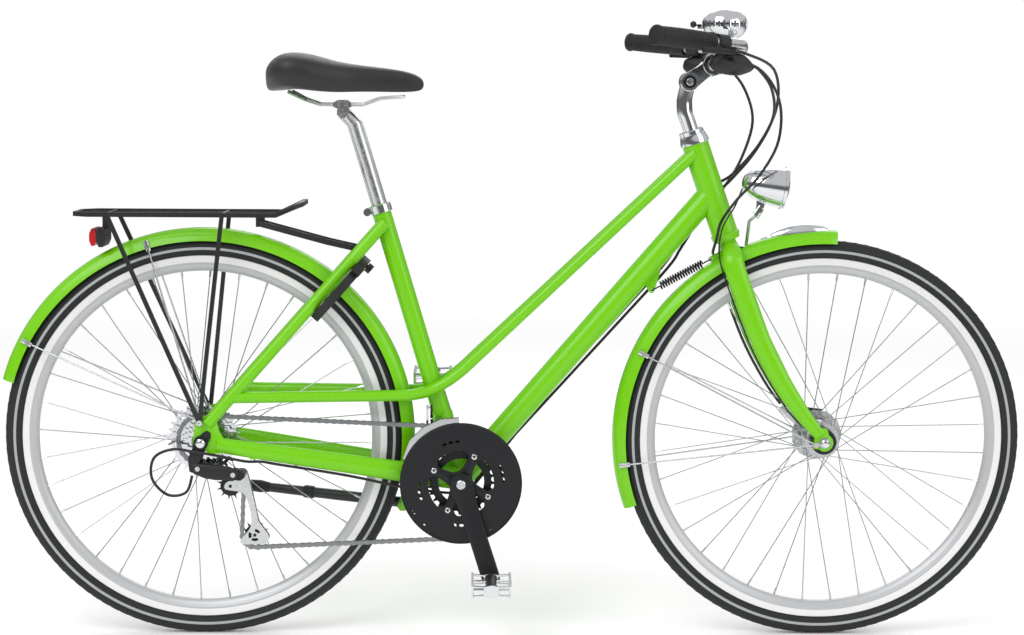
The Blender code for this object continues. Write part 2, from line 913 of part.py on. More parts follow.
def chain_wheels(cage_angle):
    # Centre, teeth and turning sense of the four wheels, in the order in which the chain meets them
    guide = rear_axle + Vector((guide_pulley_place[0], working_line, guide_pulley_place[1]))
    tension = on_wheel(guide, tension_pulley_arm, cage_angle)
    return [
        (rear_axle + across * working_line, sprocket_teeth[working_sprocket], -1),
        (bottom_bracket + across * outer_ring_line, ring_teeth[-1], -1),
        (tension, pulley_teeth, -1),
        (guide, pulley_teeth, 1),
    ]


def chain_route(cage_angle):
    # Straight runs and wraps, each as (length in pitches, function from 0 to 1 to a place)
    wheels = chain_wheels(cage_angle)
    runs = []
    for (a, teeth_a, spin_a), (b, teeth_b, spin_b) in zip(wheels, wheels[1:] + wheels[:1]):
        radius_a = pitch_radius(teeth_a) * spin_a
        radius_b = pitch_radius(teeth_b) * spin_b
        reach = math.hypot(b.x - a.x, b.z - a.z)
        angle = math.atan2(b.z - a.z, b.x - a.x) - math.asin((radius_b - radius_a) / reach)
        out = Vector((-math.sin(angle), 0, math.cos(angle)))
        runs.append((angle, a - out * radius_a, b - out * radius_b))
    route = []
    for i, (angle, start, end) in enumerate(runs):
        centre, teeth, spin = wheels[i]
        arrival = runs[i - 1][0]
        wrap = ((angle - arrival) * spin) % (2 * math.pi)
        route.append(("wrap", wrap * teeth / (2 * math.pi), centre, teeth, spin, arrival - spin * math.pi / 2))
        route.append(("run", (end - start).length / chain_pitch, start, end))
    return route


def chain_length(cage_angle):
    return sum(piece[1] for piece in chain_route(cage_angle))


def settle_cage():
    # Turns the cage until the chain holds a whole and even number of pitches
    target = 2 * round(chain_length(tension_pulley_angle) / 2)
    low = tension_pulley_angle - math.radians(25)
    high = tension_pulley_angle + math.radians(25)
    rising = chain_length(high) > chain_length(low)
    for _ in range(60):
        middle = (low + high) / 2
        if (chain_length(middle) < target) == rising:
            low = middle
        else:
            high = middle
    return low, target


cage_angle, link_count = settle_cage()


def chain_pins():
    # Places of all pins, and for each wheel the angle of one pin that lies on it
    pins = []
    phases = []
    start = 0.0
    for piece in chain_route(cage_angle):
        length = piece[1]
        while len(pins) < start + length - 1e-6 and len(pins) < link_count:
            along = len(pins) - start
            if piece[0] == "run":
                pins.append(piece[2].lerp(piece[3], along / length))
            else:
                _, _, centre, teeth, spin, angle = piece
                angle += spin * along * 2 * math.pi / teeth
                pins.append(on_wheel(centre, pitch_radius(teeth), angle))
                if along >= 0 and (not phases or phases[-1][0] != start):
                    phases.append((start, angle))
        start += length
    return pins, [angle for _, angle in phases]


pins, (sprocket_phase, ring_phase, tension_phase, guide_phase) = chain_pins()


def near_a_wheel():
    # Which links may have a tooth in them: those on a wheel and the next few beside it
    open_links = set()
    start = 0.0
    for piece in chain_route(cage_angle):
        if piece[0] == "wrap":
            radius = pitch_radius(piece[3])
            reach = math.sqrt((radius + tooth_tip) ** 2 - (radius - plate_waist) ** 2) / chain_pitch
            first = math.floor(start - reach - 0.1)
            last = math.ceil(start + piece[1] + reach + 0.1)
            open_links.update(k % link_count for k in range(first, last))
        start += piece[1]
    return open_links


def make_chain():
    # Wide and narrow links in turn, thick at the pins and slim between them. Beside the wheels each
    # link is two plates between rollers, with an open window for the tooth
    bm = bmesh.new()
    count = len(pins)
    halves = [outer_link_half if k % 2 == 0 else inner_link_half for k in range(count)]
    directions = [(pins[(k + 1) % count] - pins[k]).normalized() for k in range(count)]
    square = ((1, 1), (1, -1), (-1, -1), (-1, 1))

    def ring(centre, u, half, height):
        v = across.cross(u).normalized()
        return [bm.verts.new(centre + u.cross(v) * (side * half) + v * (h * height)) for side, h in square]

    def bridge(low, high):
        for a, b in zip(range(4), (1, 2, 3, 0)):
            bm.faces.new((low[a], low[b], high[b], high[a]))

    middle = (outer_link_half + inner_link_half) / 2
    rows = []
    for k in range(count):
        rows.append(ring(pins[k], (directions[k] + directions[k - 1]).normalized(), middle, plate_half_height))
    open_links = near_a_wheel()
    for k in range(count):
        u = directions[k]
        if k not in open_links:
            if k % 2 == 0:
                bridge(rows[k], rows[(k + 1) % count])
                continue
            waist = ring((pins[k] + pins[(k + 1) % count]) / 2, u, halves[k], plate_waist)
            bridge(rows[k], waist)
            bridge(waist, rows[(k + 1) % count])
            continue
        low, high = rows[k], rows[(k + 1) % count]
        window = [
            ring(centre, u, halves[k] - plate_thickness, plate_half_height)
            for centre in (pins[k] + u * roller_half, pins[(k + 1) % count] - u * roller_half)
        ]
        for a, b in ((0, 1), (2, 3)):
            bm.faces.new((low[a], low[b], high[b], high[a]))
            bm.faces.new((window[0][a], window[1][a], window[1][b], window[0][b]))
        for a, b in ((1, 2), (3, 0)):
            bm.faces.new((low[a], low[b], window[0][b], window[0][a]))
            bm.faces.new((high[a], high[b], window[1][b], window[1][a]))
        for c, d in ((0, 0), (1, 1), (2, 2), (3, 3)):
            bm.faces.new((low[c], high[d], window[1][d], window[0][c]))
        bm.faces.new(window[0])
        bm.faces.new(window[1])
    carry("frame_body", add_mesh("chain", bm, "brushed_metal"))


def toothed_outline(teeth, phase=0.0):
    radius = pitch_radius(teeth)
    step = 2 * math.pi / teeth
    root, top = radius - tooth_root, radius + tooth_tip
    out = []
    for k in range(teeth):
        valley = phase + k * step
        base = tooth_gap / root
        for a, r in ((valley - base, root), (valley + base, root), (valley + step / 2, top)):
            out.append((r * math.cos(a), r * math.sin(a)))
    return out


def make_cassette():
    # Toothed discs on a common sleeve, built as one row of outlines along the axle
    bm = bmesh.new()
    sleeve = circle_outline(0, 0, 0.0165, 6)
    bore = circle_outline(0, 0, bore_for(axle_radius, 6, running_gap), 6)

    def row(outline, y):
        return [bm.verts.new(rear_axle + Vector((a, y, b))) for a, b in outline]

    def wall(low, high):
        for k in range(len(low)):
            j = (k + 1) % len(low)
            bm.faces.new((low[k], low[j], high[j], high[k]))

    def collar(outer, inner):
        edges = []
        for loop in (outer, inner):
            for a, b in zip(loop, loop[1:] + loop[:1]):
                edges.append(bm.edges.get((a, b)) or bm.edges.new((a, b)))
        bmesh.ops.triangle_fill(bm, use_beauty=True, edges=edges)

    start = row(sleeve, outer_sprocket_line - 0.0016)
    first_bore = row(bore, outer_sprocket_line - 0.0016)
    collar(start, first_bore)
    for i, teeth in enumerate(sprocket_teeth):
        line = outer_sprocket_line + i * sprocket_spacing
        outline = circle_outline(0, 0, pitch_radius(teeth) + tooth_tip, 11)
        if i == working_sprocket:
            outline = toothed_outline(teeth, sprocket_phase)
        faces = (line - sprocket_thickness / 2, line + sprocket_thickness / 2)
        root = [row(sleeve, y) for y in faces]
        edge = [row(outline, y) for y in faces]
        wall(start, root[0])
        wall(edge[0], edge[1])
        collar(edge[0], root[0])
        collar(edge[1], root[1])
        start = root[1]
    end = row(sleeve, line + sprocket_thickness / 2 + 0.0006)
    last_bore = row(bore, line + sprocket_thickness / 2 + 0.0006)
    wall(start, end)
    collar(end, last_bore)
    wall(first_bore, last_bore)
    carry("cassette", add_mesh("cassette", bm, "brushed_metal"))


def make_chainrings():
    hole = circle_outline(0, 0, 0.0445, 8)
    outline = toothed_outline(ring_teeth[-1], ring_phase)
    centre = bottom_bracket + across * (outer_ring_line + ring_thickness / 2)
    carry("crankset", plate("outer_chainring", outline, ring_thickness, centre, "black_paint", holes=[hole]))


def inner_rings():
    # The two smaller rings, on the inner side of the spider
    out = []
    for teeth, steps, bore, hole in ((ring_teeth[0], 18, 2, 0.0265), (ring_teeth[1], 22, 1, 0.0445)):
        line = outer_ring_line + bore * ring_spacing
        centre = bottom_bracket + across * (line + ring_thickness / 2)
        edge = circle_outline(0, 0, pitch_radius(teeth) + tooth_tip, steps)
        out.append(plate("ring", edge, ring_thickness, centre, None, holes=[circle_outline(0, 0, hole, 6)]))
    return out


guard_inner_face = outer_ring_line - 0.0056
guard_thickness = 0.0014


def make_guard():
    # Disc over the outer ring, with windows between the spider arms and a spacer and bolt at each arm
    windows = []
    for k in range(4):
        middle = spider_turn + math.pi / 4 + k * math.pi / 2
        windows.append(
            [
                (r * math.cos(middle + math.radians(a)), r * math.sin(middle + math.radians(a)))
                for r, a in ((0.0275, -14), (0.0275, 14), (0.0470, 20), (0.0470, -20))
            ]
        )
    rim = circle_outline(0, 0, guard_radius, 28)
    hole = circle_outline(0, 0, 0.0200, 8)
    centre = bottom_bracket + across * guard_inner_face
    guard = plate("chain_guard", rim, guard_thickness, centre, None, holes=[hole, *windows])
    bolts = []
    for k in range(4):
        place = on_wheel(bottom_bracket, bolt_circle, spider_turn + k * math.pi / 2)
        inner_face = outer_ring_line - ring_thickness / 2 - gap
        outer_face = guard_inner_face - guard_thickness - 0.0018
        bolts.append(rod("bolt", place + across * inner_face, place + across * outer_face, 0.0052, None, 5))
    carry("crankset", paint(fuse(guard, *bolts), "black_plastic"))


crank_boss_radius = 0.0175
crank_arm_line = 0.0690
pedal_eye_line = 0.0825


def make_crank(name, side, angle):
    # side is -1 for the drive side. Boss, tapered arm, pedal eye and the fixed pedal axle
    eye = on_wheel(bottom_bracket, crank_length, angle)
    bore = bore_for(spindle_radius, 12)
    profile = [(0.0, 0.0490), (crank_boss_radius, 0.0490), (crank_boss_radius, 0.0730), (0.0135, 0.0755), (0.0, 0.0755)]
    boss = lathe(name, profile, bottom_bracket, across * side, None, 12)
    near = bottom_bracket + across * (side * crank_arm_line)
    far = eye + across * (side * pedal_eye_line)
    near = near + (far - near).normalized() * 0.0095
    middle = near.lerp(far, 0.45)
    arm = sweep("arm", [near, middle, far], [(0.0048, 0.0150), (0.0060, 0.0125), (0.0058, 0.0118)], None, 6)
    ring = rod("eye", eye + across * (side * 0.0750), eye + across * (side * 0.0890), 0.0125, None, 8)
    axle = rod("axle", eye + across * (side * 0.0800), eye + across * (side * pedal_axle_end), pedal_axle_radius, None, 8)
    parts = [arm, ring, axle]
    if side < 0:
        outline = []
        for k in range(4):
            arm_angle = spider_turn + k * math.pi / 2
            spread = 0.0080 / 0.058
            for r, a in ((0.0200, -0.70), (0.0560, -spread), (0.0600, 0.0), (0.0560, spread)):
                outline.append((r * math.cos(arm_angle + a), r * math.sin(arm_angle + a)))
        outer_face = outer_ring_line + ring_thickness / 2 + gap
        inner_face = outer_ring_line + ring_spacing - ring_thickness / 2 + 0.0002
        spider = plate("spider", outline, inner_face - outer_face, bottom_bracket + across * inner_face)
        parts.append(spider)
        last_face = outer_ring_line + 2 * ring_spacing - ring_thickness / 2 + 0.0002
        for k in range(4):
            place = on_wheel(bottom_bracket, 0.0320, spider_turn + k * math.pi / 2)
            parts.append(rod("stud", place + across * (inner_face - 0.001), place + across * last_face, 0.0045, None, 5))
        parts += inner_rings()
    else:
        end = bottom_bracket - across * 0.0768
        parts.append(rod("spindle", end, bottom_bracket + across * 0.0740, spindle_radius, None, 12, turn=0.0))
        fuse(boss, *parts)
        carry("crankset", paint(boss, "black_paint"))
        return
    fuse(boss, *parts)
    cut(boss, rod("bore", bottom_bracket + across * (side * 0.03), bottom_bracket + across * (side * 0.09), bore, None, 12))
    carry("crankset", paint(boss, "black_paint"))


def make_bottom_bracket():
    bore = bore_for(spindle_radius, 9, running_gap)
    end = bottom_shell_width / 2 + gap
    half = [(0.0165, end), (0.0185, end), (0.0185, end + 0.0022), (bore, end + 0.0022)]
    profile = half + [(r, -y) for r, y in reversed(half)]
    unit = lathe("bottom_bracket_unit", profile, bottom_bracket, across, "black_paint", 9, True)
    carry("frame_body", unit)


def make_pedal(name, body, side, angle):
    # Barrel on the axle with a front and a rear tread bar and an end plate at each end
    eye = on_wheel(bottom_bracket, crank_length, angle)
    start = pedal_inner_face
    end = start + pedal_width + 0.0100
    profile = [(0.0, start), (0.0120, start), (0.0100, end), (0.0, end)]
    barrel = lathe(name, profile, eye, across * side, None, 10)
    parts = []
    half_length = pedal_length / 2
    half_height = pedal_height / 2 - 0.003
    for place in (start + 0.006, end - 0.008):
        outline = [
            (-half_length, -half_height),
            (0.0, -half_height * 0.72),
            (half_length, -half_height),
            (half_length, half_height),
            (0.0, half_height * 0.72),
            (-half_length, half_height),
        ]
        face = eye + across * (side * place + 0.002)
        parts.append(plate("end", outline, 0.004, face, None))
    for place in (-1, 1):
        middle = eye + forward * (place * (half_length - 0.0042))
        bar_start = middle + across * (side * (start + 0.0065))
        bar_end = middle + across * (side * (end - 0.0085))
        parts.append(slab("tread", bar_start, bar_end, 0.0032, half_height + 0.0024, forward))
    fuse(barrel, *parts)
    low, high = eye + across * (side * (start - 0.02)), eye + across * (side * (pedal_axle_end + gap))
    cut(barrel, rod("bore", low, high, bore_for(pedal_axle_radius, 8, running_gap), None, 8))
    carry(body, paint(barrel, "polished_metal"))


# Rear derailleur: hanger with upper knuckle, two links, lower knuckle, cage and pulleys
link_near = from_rear(-0.0060, 0.3030)
link_far = from_rear(0.0555, 0.2925)
link_lines = (-0.0575, -0.0705)
hinge_direction = (link_far - link_near).normalized().cross(across).normalized() * -1
cage_pivot = from_rear(0.0675, 0.2895)
cage_half_gap = 0.0042
cage_plate = 0.0015
link_half_height = 0.0062
ear_thickness = 0.0022


def knuckle_block(name, hinge, body_shift, body_half, wide):
    # A block with two ears above and below the ends of the links, and a pin through each pair of ears
    along = (link_far - link_near).normalized()
    shift = along * body_shift
    line = (link_lines[0] + link_lines[1]) / 2
    height = link_half_height + 0.0006 + ear_thickness
    ends = [hinge + shift + hinge_direction * h + across * line for h in (-height, height)]
    block = sweep(name, ends, [(wide, body_half)] * 2, None, 4)
    parts = []
    for level in (-1, 1):
        low = link_half_height + 0.0006
        for y in link_lines:
            centre = hinge + across * y
            tip = -0.0036 if body_shift > 0 else 0.0036
            outline = [(tip, -0.0034), (tip, 0.0034), (body_shift, 0.0034), (body_shift, -0.0034)]
            origin = centre + hinge_direction * (low if level > 0 else -low - ear_thickness)
            parts.append(plate("ear", outline, ear_thickness, origin, None, along, hinge_direction.cross(along)))
    for y in link_lines:
        centre = hinge + across * y
        reach = low + 0.0010
        parts.append(rod("pin", centre - hinge_direction * reach, centre + hinge_direction * reach, 0.0013, None, 6))
    return fuse(block, *parts)


def make_link(name, body, line):
    start = link_near + across * line
    end = link_far + across * line
    along = (end - start).normalized()
    bore = bore_for(0.0013, 6, 0.0004)
    link = sweep(name, [start + along * 0.001, end - along * 0.001], [(0.0014, link_half_height)] * 2, None, 4)
    barrels = []
    for place in (start, end):
        barrels.append(
            rod("barrel", place - hinge_direction * link_half_height, place + hinge_direction * link_half_height, 0.0033, None, 6)
        )
    fuse(link, *barrels)
    for place in (start, end):
        cut(link, rod("bore", place - hinge_direction * 0.02, place + hinge_direction * 0.02, bore, None, 6))
    carry(body, paint(link, "black_plastic"))


def make_rear_derailleur():
    # The hanger plate is held under the axle nut and by a bolt above it
    plate_outer = rear_hub_width / 2 + dropout_thickness + gap
    upper = knuckle_block("derailleur_hanger", link_near, -0.0095, 0.0045, 0.0100)
    circles = [(0.010, 0.013, 0.0078), (0.0, 0.0, 0.0098), (-0.0145, -0.030, 0.0085), (-0.0150, -0.046, 0.0060)]
    holes = [circle_outline(0, 0, bore_for(axle_radius, 8), 8)]
    face = rear_axle - across * plate_outer
    hanger = plate("plate", hull_outline(circles, 6), hanger_thickness, face, None, holes=holes)
    bolt = rod(
        "bolt",
        from_rear(0.010, rear_axle.z + 0.013, -plate_outer - 0.002),
        from_rear(0.010, rear_axle.z + 0.013, -plate_outer - 0.0050),
        0.0048,
        None,
        6,
    )
    neck = rod(
        "neck", from_rear(-0.0150, 0.3040, -plate_outer - 0.0015), from_rear(-0.0150, 0.3040, -0.0600), 0.0055, None, 6
    )
    carry("frame_body", paint(fuse(upper, hanger, bolt, neck), "black_plastic"))
    make_link("derailleur_inner_link", "derailleur_inner_link", link_lines[0])
    make_link("derailleur_outer_link", "derailleur_outer_link", link_lines[1])
    lower = knuckle_block("derailleur_knuckle", link_far, 0.0100, 0.0052, 0.0100)
    outer_face = working_line - cage_half_gap - cage_plate
    boss = rod(
        "boss",
        Vector((cage_pivot.x, -0.0700, cage_pivot.z)),
        Vector((cage_pivot.x, outer_face - gap, cage_pivot.z)),
        0.0066,
        None,
        8,
    )
    pin = rod(
        "pin",
        Vector((cage_pivot.x, -0.0650, cage_pivot.z)),
        Vector((cage_pivot.x, outer_face + cage_plate - 0.0003, cage_pivot.z)),
        0.0030,
        None,
        8,
    )
    carry("derailleur_knuckle", paint(fuse(lower, boss, pin), "black_plastic"))

    guide, tension = chain_wheels(cage_angle)[3][0], chain_wheels(cage_angle)[2][0]
    guide_flat = (guide.x - cage_pivot.x, guide.z - cage_pivot.z)
    tension_flat = (tension.x - cage_pivot.x, tension.z - cage_pivot.z)
    hole = circle_outline(0, 0, bore_for(0.0030, 8, 0.0004), 8)
    circles = [(0, 0, 0.0075), (*guide_flat, 0.0085), (*tension_flat, 0.0075)]
    origin = Vector((cage_pivot.x, outer_face + cage_plate, cage_pivot.z))
    cage = plate("derailleur_cage", hull_outline(circles, 6), cage_plate, origin, None, holes=[hole])
    origin = Vector((cage_pivot.x, working_line + cage_half_gap + cage_plate, cage_pivot.z))
    inner = plate("inner", hull_outline(circles[1:], 6), cage_plate, origin)
    parts = [inner]
    for place in (guide, tension):
        reach = cage_half_gap + cage_plate + 0.0008
        parts.append(rod("pulley_pin", place - across * reach, place + across * reach, 0.0025, None, 6))
    carry("derailleur_cage", paint(fuse(cage, *parts), "brushed_metal"))
    for name, place, phase in (("guide_pulley", guide, guide_phase), ("tension_pulley", tension, tension_phase)):
        hole = circle_outline(0, 0, bore_for(0.0025, 6, 0.0004), 6)
        face = place + across * (sprocket_thickness / 2)
        outline = toothed_outline(pulley_teeth, phase)
        carry(name, plate(name, outline, sprocket_thickness, face, "black_plastic", holes=[hole]))


# Front derailleur: clamp band on the seat tube, one link and the cage
def make_front_derailleur():
    foot, head = front_link_foot, front_link_head
    circles = [(foot.y, foot.z, 0.0040), (head.y, head.z, 0.0040)]
    holes = [circle_outline(y, z, bore_for(0.0018, 6, 0.0003), 6) for y, z, _ in circles]
    origin = Vector((front_derailleur_place(-0.0535), 0, 0))
    arm = plate("front_derailleur_link", hull_outline(circles, 6), 0.0040, origin, "black_plastic", across, upward, holes)
    carry("front_derailleur_link", arm)

    outline = []
    for radius, angle in ((0.1022, 92), (0.1022, 108), (0.1022, 124), (0.1022, 140), (0.1022, 157)):
        outline.append((radius, angle))
    for radius, angle in ((0.1090, 157), (0.1160, 140), (0.1170, 124), (0.1170, 108), (0.1140, 92)):
        outline.append((radius, angle))
    flat = [(r * math.cos(math.radians(a)), r * math.sin(math.radians(a))) for r, a in outline]
    outer = plate("front_derailleur_cage", flat, 0.0012, bottom_bracket + across * (outer_ring_line - 0.0038))
    inner = plate("inner", flat, 0.0012, bottom_bracket + across * (outer_ring_line + 0.0070))
    parts = [inner]
    for radius, angle in ((0.1062, 154), (0.1135, 104)):
        place = on_wheel(bottom_bracket, radius, math.radians(angle), outer_ring_line)
        parts.append(rod("bridge", place - across * 0.0044, place + across * 0.0062, 0.0024, None, 4))
    lug = [(head.y, head.z, 0.0040), (outer_ring_line + 0.0064, bottom_bracket.z + 0.0985, 0.0012)]
    parts.append(plate("lug", hull_outline(lug), 0.0040, Vector((front_derailleur_place(-0.0605), 0, 0)), None, across, upward))
    parts.append(
        rod(
            "pin",
            Vector((front_derailleur_place(-0.0600), head.y, head.z)),
            Vector((front_derailleur_place(-0.0490), head.y, head.z)),
            0.0018,
            None,
            6,
        )
    )
    carry("front_derailleur_cage", paint(fuse(outer, *parts), "polished_metal"))


add_body("crankset", bottom_bracket, "frame_body")
add_body("cassette", rear_axle, "frame_body")
right_eye = on_wheel(bottom_bracket, crank_length, crank_angle)
left_eye = on_wheel(bottom_bracket, crank_length, crank_angle + math.pi)
add_body("right_pedal", right_eye - across * pedal_eye_line, "crankset")
add_body("left_pedal", left_eye + across * pedal_eye_line, "crankset")
add_body("derailleur_inner_link", link_near + across * link_lines[0], "frame_body")
add_body("derailleur_outer_link", link_near + across * link_lines[1], "frame_body")
add_body("derailleur_knuckle", link_far + across * link_lines[1], "derailleur_outer_link")
add_body("derailleur_cage", cage_pivot + across * (working_line - cage_half_gap), "derailleur_knuckle")
add_body("guide_pulley", chain_wheels(cage_angle)[3][0], "derailleur_cage")
add_body("tension_pulley", chain_wheels(cage_angle)[2][0], "derailleur_cage")
add_body("front_derailleur_link", front_link_foot + forward * front_derailleur_place(-0.0515), "frame_body")
add_body("front_derailleur_cage", front_link_head + forward * front_derailleur_place(-0.0515), "front_derailleur_link")

make_chain()
make_cassette()
make_chainrings()
make_guard()
make_bottom_bracket()
make_crank("right_crank", -1, crank_angle)
make_crank("left_crank", 1, crank_angle + math.pi)
make_pedal("right_pedal", "right_pedal", -1, crank_angle)
make_pedal("left_pedal", "left_pedal", 1, crank_angle + math.pi)
make_rear_derailleur()
make_front_derailleur()


# Fork, headset and stem
steerer_top = fork_length + head_tube_length + upper_cup_height + locknut_height + gap
crown_middle = fork_length - lower_cup_height - gap - fork_crown_half * math.cos(math.pi / 8)
blade_plan = (
    (crown_middle, 0.0000, 0.018, 0.0110, 0.0145),
    (crown_middle - 0.013, -0.0020, 0.037, 0.0105, 0.0170),
    (0.330, -0.0065, 0.0455, 0.0105, 0.0180),
    (0.207, -0.0035, 0.0500, 0.0098, 0.0172),
    (0.120, 0.0095, 0.0535, 0.0085, 0.0158),
    (0.060, 0.0255, 0.0545, 0.0065, 0.0132),
    (0.014, 0.0425, 0.0540, 0.0042, 0.0095),
)
spring_fork_end = steer(0.3615, -0.0365)


def blade_path(side):
    return [steer(along, ahead, y * side) for along, ahead, y, width, depth in blade_plan]


def front_dropout(side):
    # Slotted fork end, with the eyelet for the fender stays behind the axle
    outline = [
        (-0.0056, -0.0120),
        (-0.0056, 0.0035),
        (0.0000, 0.0062),
        (0.0056, 0.0035),
        (0.0056, -0.0115),
        (0.0135, -0.0060),
        (0.0040, 0.0240),
        (-0.0150, 0.0270),
        (-0.0200, -0.0100),
    ]
    inner = front_hub_width / 2
    top_face = inner + dropout_thickness if side > 0 else -inner
    hole = circle_outline(-0.0145, -0.0035, 0.0025, 4)
    return plate("end", outline, dropout_thickness, front_axle + across * top_face, None, holes=[hole])


def make_fork():
    fork = rod("fork", steer(crown_middle - 0.0031), steer(steerer_top), steerer_radius, None, 12)
    start = fork_length + head_tube_length + upper_cup_height + gap
    profile = [(0.0, 0.0), (0.0200, 0.0), (0.0200, 0.0060), (0.0165, locknut_height), (0.0, locknut_height)]
    crown = [steer(crown_middle, 0, -0.022), steer(crown_middle, 0, 0.022)]
    parts = [
        lathe("locknut", profile, steer(start), steer_axis, None, 12),
        sweep("crown", crown, [(fork_crown_half, 0.0150)] * 2, None, 8, steer_axis),
        *lamp_bracket(),
    ]
    sizes = [(width, depth) for along, ahead, y, width, depth in blade_plan]
    for side in (-1, 1):
        parts.append(sweep("blade", blade_path(side), sizes, None, 6))
        parts.append(front_dropout(side))
    circles = []
    for along, ahead, radius in ((0.3615, -0.0365, 0.0048), (0.3650, -0.0120, 0.0060)):
        point = steer(along, ahead)
        circles.append((point.x, point.z, radius))
    hole = circle_outline(circles[0][0], circles[0][1], 0.0025, 6)
    parts.append(plate("spring_ear", hull_outline(circles, 6), 0.003, Vector((0, 0.0015, 0)), None, holes=[hole]))
    fuse(fork, *parts)
    bore = bore_for(quill_radius, 12)
    cut(fork, rod("bore", steer(fork_length + 0.02), steer(steerer_top + 0.02), bore, None, 12))
    carry("steering", paint(fork, "green_paint"))


stem_pivot = steer(stem_pivot_rise, stem_pivot_reach)
stem_arm_direction = Vector((math.cos(stem_arm_angle), 0, math.sin(stem_arm_angle)))
bar_centre = stem_pivot + stem_arm_direction * stem_arm_length


def make_stem():
    # The quill ends in an eye, the arm holds it between two cheeks, and a bolt clamps them
    path = [
        steer(steerer_top - quill_insertion),
        steer(stem_pivot_rise - 0.052),
        steer(stem_pivot_rise - 0.028, 0.0055),
        steer(stem_pivot_rise - 0.004, 0.0190),
    ]
    sizes = [(quill_radius, quill_radius)] * 2 + [(0.0102, 0.0138), (0.0098, 0.0120)]
    quill = sweep("stem_quill", path, sizes, None, 12)
    eye = rod("eye", stem_pivot - across * 0.0105, stem_pivot + across * 0.0105, pivot_eye_radius, None, 12)
    fuse(quill, eye)
    bolt_hole = bore_for(0.0045, 6)
    cut(quill, rod("bore", stem_pivot - across * 0.03, stem_pivot + across * 0.03, bolt_hole, None, 6))
    carry("steering", paint(quill, "chrome"))

    u = stem_arm_direction
    v = across.cross(u) * -1
    outline = hull_outline([(0.0, 0.0, 0.0158), (stem_arm_length - 0.014, 0.0, 0.0125)], 8)
    arm = sweep("stem_arm", [stem_pivot + u * 0.0185, bar_centre], [(0.0150, 0.0125)] * 2, None, 8)
    parts = []
    for side in (-1, 1):
        face = 0.0108 + 0.0062 if side > 0 else -0.0108
        parts.append(plate("cheek", outline, 0.0062, stem_pivot + across * face, None, u, v))
    parts.append(rod("clamp", bar_centre - across * 0.0215, bar_centre + across * 0.0215, bar_clamp_radius, None, 10))
    parts.append(rod("bolt", stem_pivot - across * 0.018, stem_pivot + across * 0.018, 0.0045, None, 6))
    fuse(arm, *parts)
    bore = bar_radius + 1.4 * gap
    cut(arm, rod("bore", bar_centre - across * 0.03, bar_centre + across * 0.03, bore, None, 8, forward))
    carry("steering", paint(arm, "chrome"))


# Handlebar and what it carries. Places are worked out for the right side and mirrored
bar_end = from_rear(grip_end[0], grip_end[2], grip_end[1])
bar_bend_start = bar_end - grip_direction * bar_straight


def bar_half():
    # From the clamp to the grip's end on the right side
    bend = [
        bar_centre + Vector((0.0, -0.022, 0.0)),
        bar_centre + Vector((0.0040, -0.040, 0.0012)),
        bar_centre + Vector((0.0165, -0.075, 0.0085)),
        bar_centre + Vector((0.0285, -0.125, 0.0195)),
        bar_bend_start - grip_direction * 0.018 + Vector((0.0050, 0.0160, -0.0010)),
        bar_bend_start,
    ]
    return smooth_path(bend, 1) + [bar_end - grip_direction * 0.0045]


def make_bar():
    right = bar_half()
    path = mirrored(right, 1)[::-1] + mirrored(right, -1)
    carry("steering", sweep("handlebar", path, bar_radius, "polished_metal", 8, upward))
    bore = bore_for(bar_radius, 8)
    profile = [
        (0.0, grip_length),
        (0.0150, grip_length),
        (grip_radius, grip_length - 0.005),
        (grip_radius, 0.0),
        (bore, 0.0),
        (bore, grip_length - 0.0040),
        (0.0, grip_length - 0.0040),
    ]
    for name, side in (("right_grip", -1), ("left_grip", 1)):
        start = bar_end - grip_direction * grip_length
        start, direction = mirrored([start, grip_direction], -side)
        carry("steering", lathe(name, profile, start, direction, "black_rubber", 8, phase=math.pi / 8))


control_base = bar_end - grip_direction * clamp_place
control_front = Vector((-grip_direction.y, grip_direction.x, 0)).normalized()
lever_pivot = control_base + control_front * 0.0300 - upward * 0.0150
thumb_pivot = control_base - grip_direction * 0.014 + control_front * 0.0160 - upward * 0.0400


def control_point(out, ahead, up):
    return control_base + grip_direction * out + control_front * ahead + upward * up


def mirror_piece(source, name, body):
    # The left hand twin of a piece on the right
    mesh = source.data.copy()
    mesh.name = name
    mesh.transform(Matrix.Scale(-1, 4, across))
    mesh.flip_normals()
    piece = bpy.data.objects.new(name, mesh)
    bpy.context.scene.collection.objects.link(piece)
    piece.parent = bodies[body]


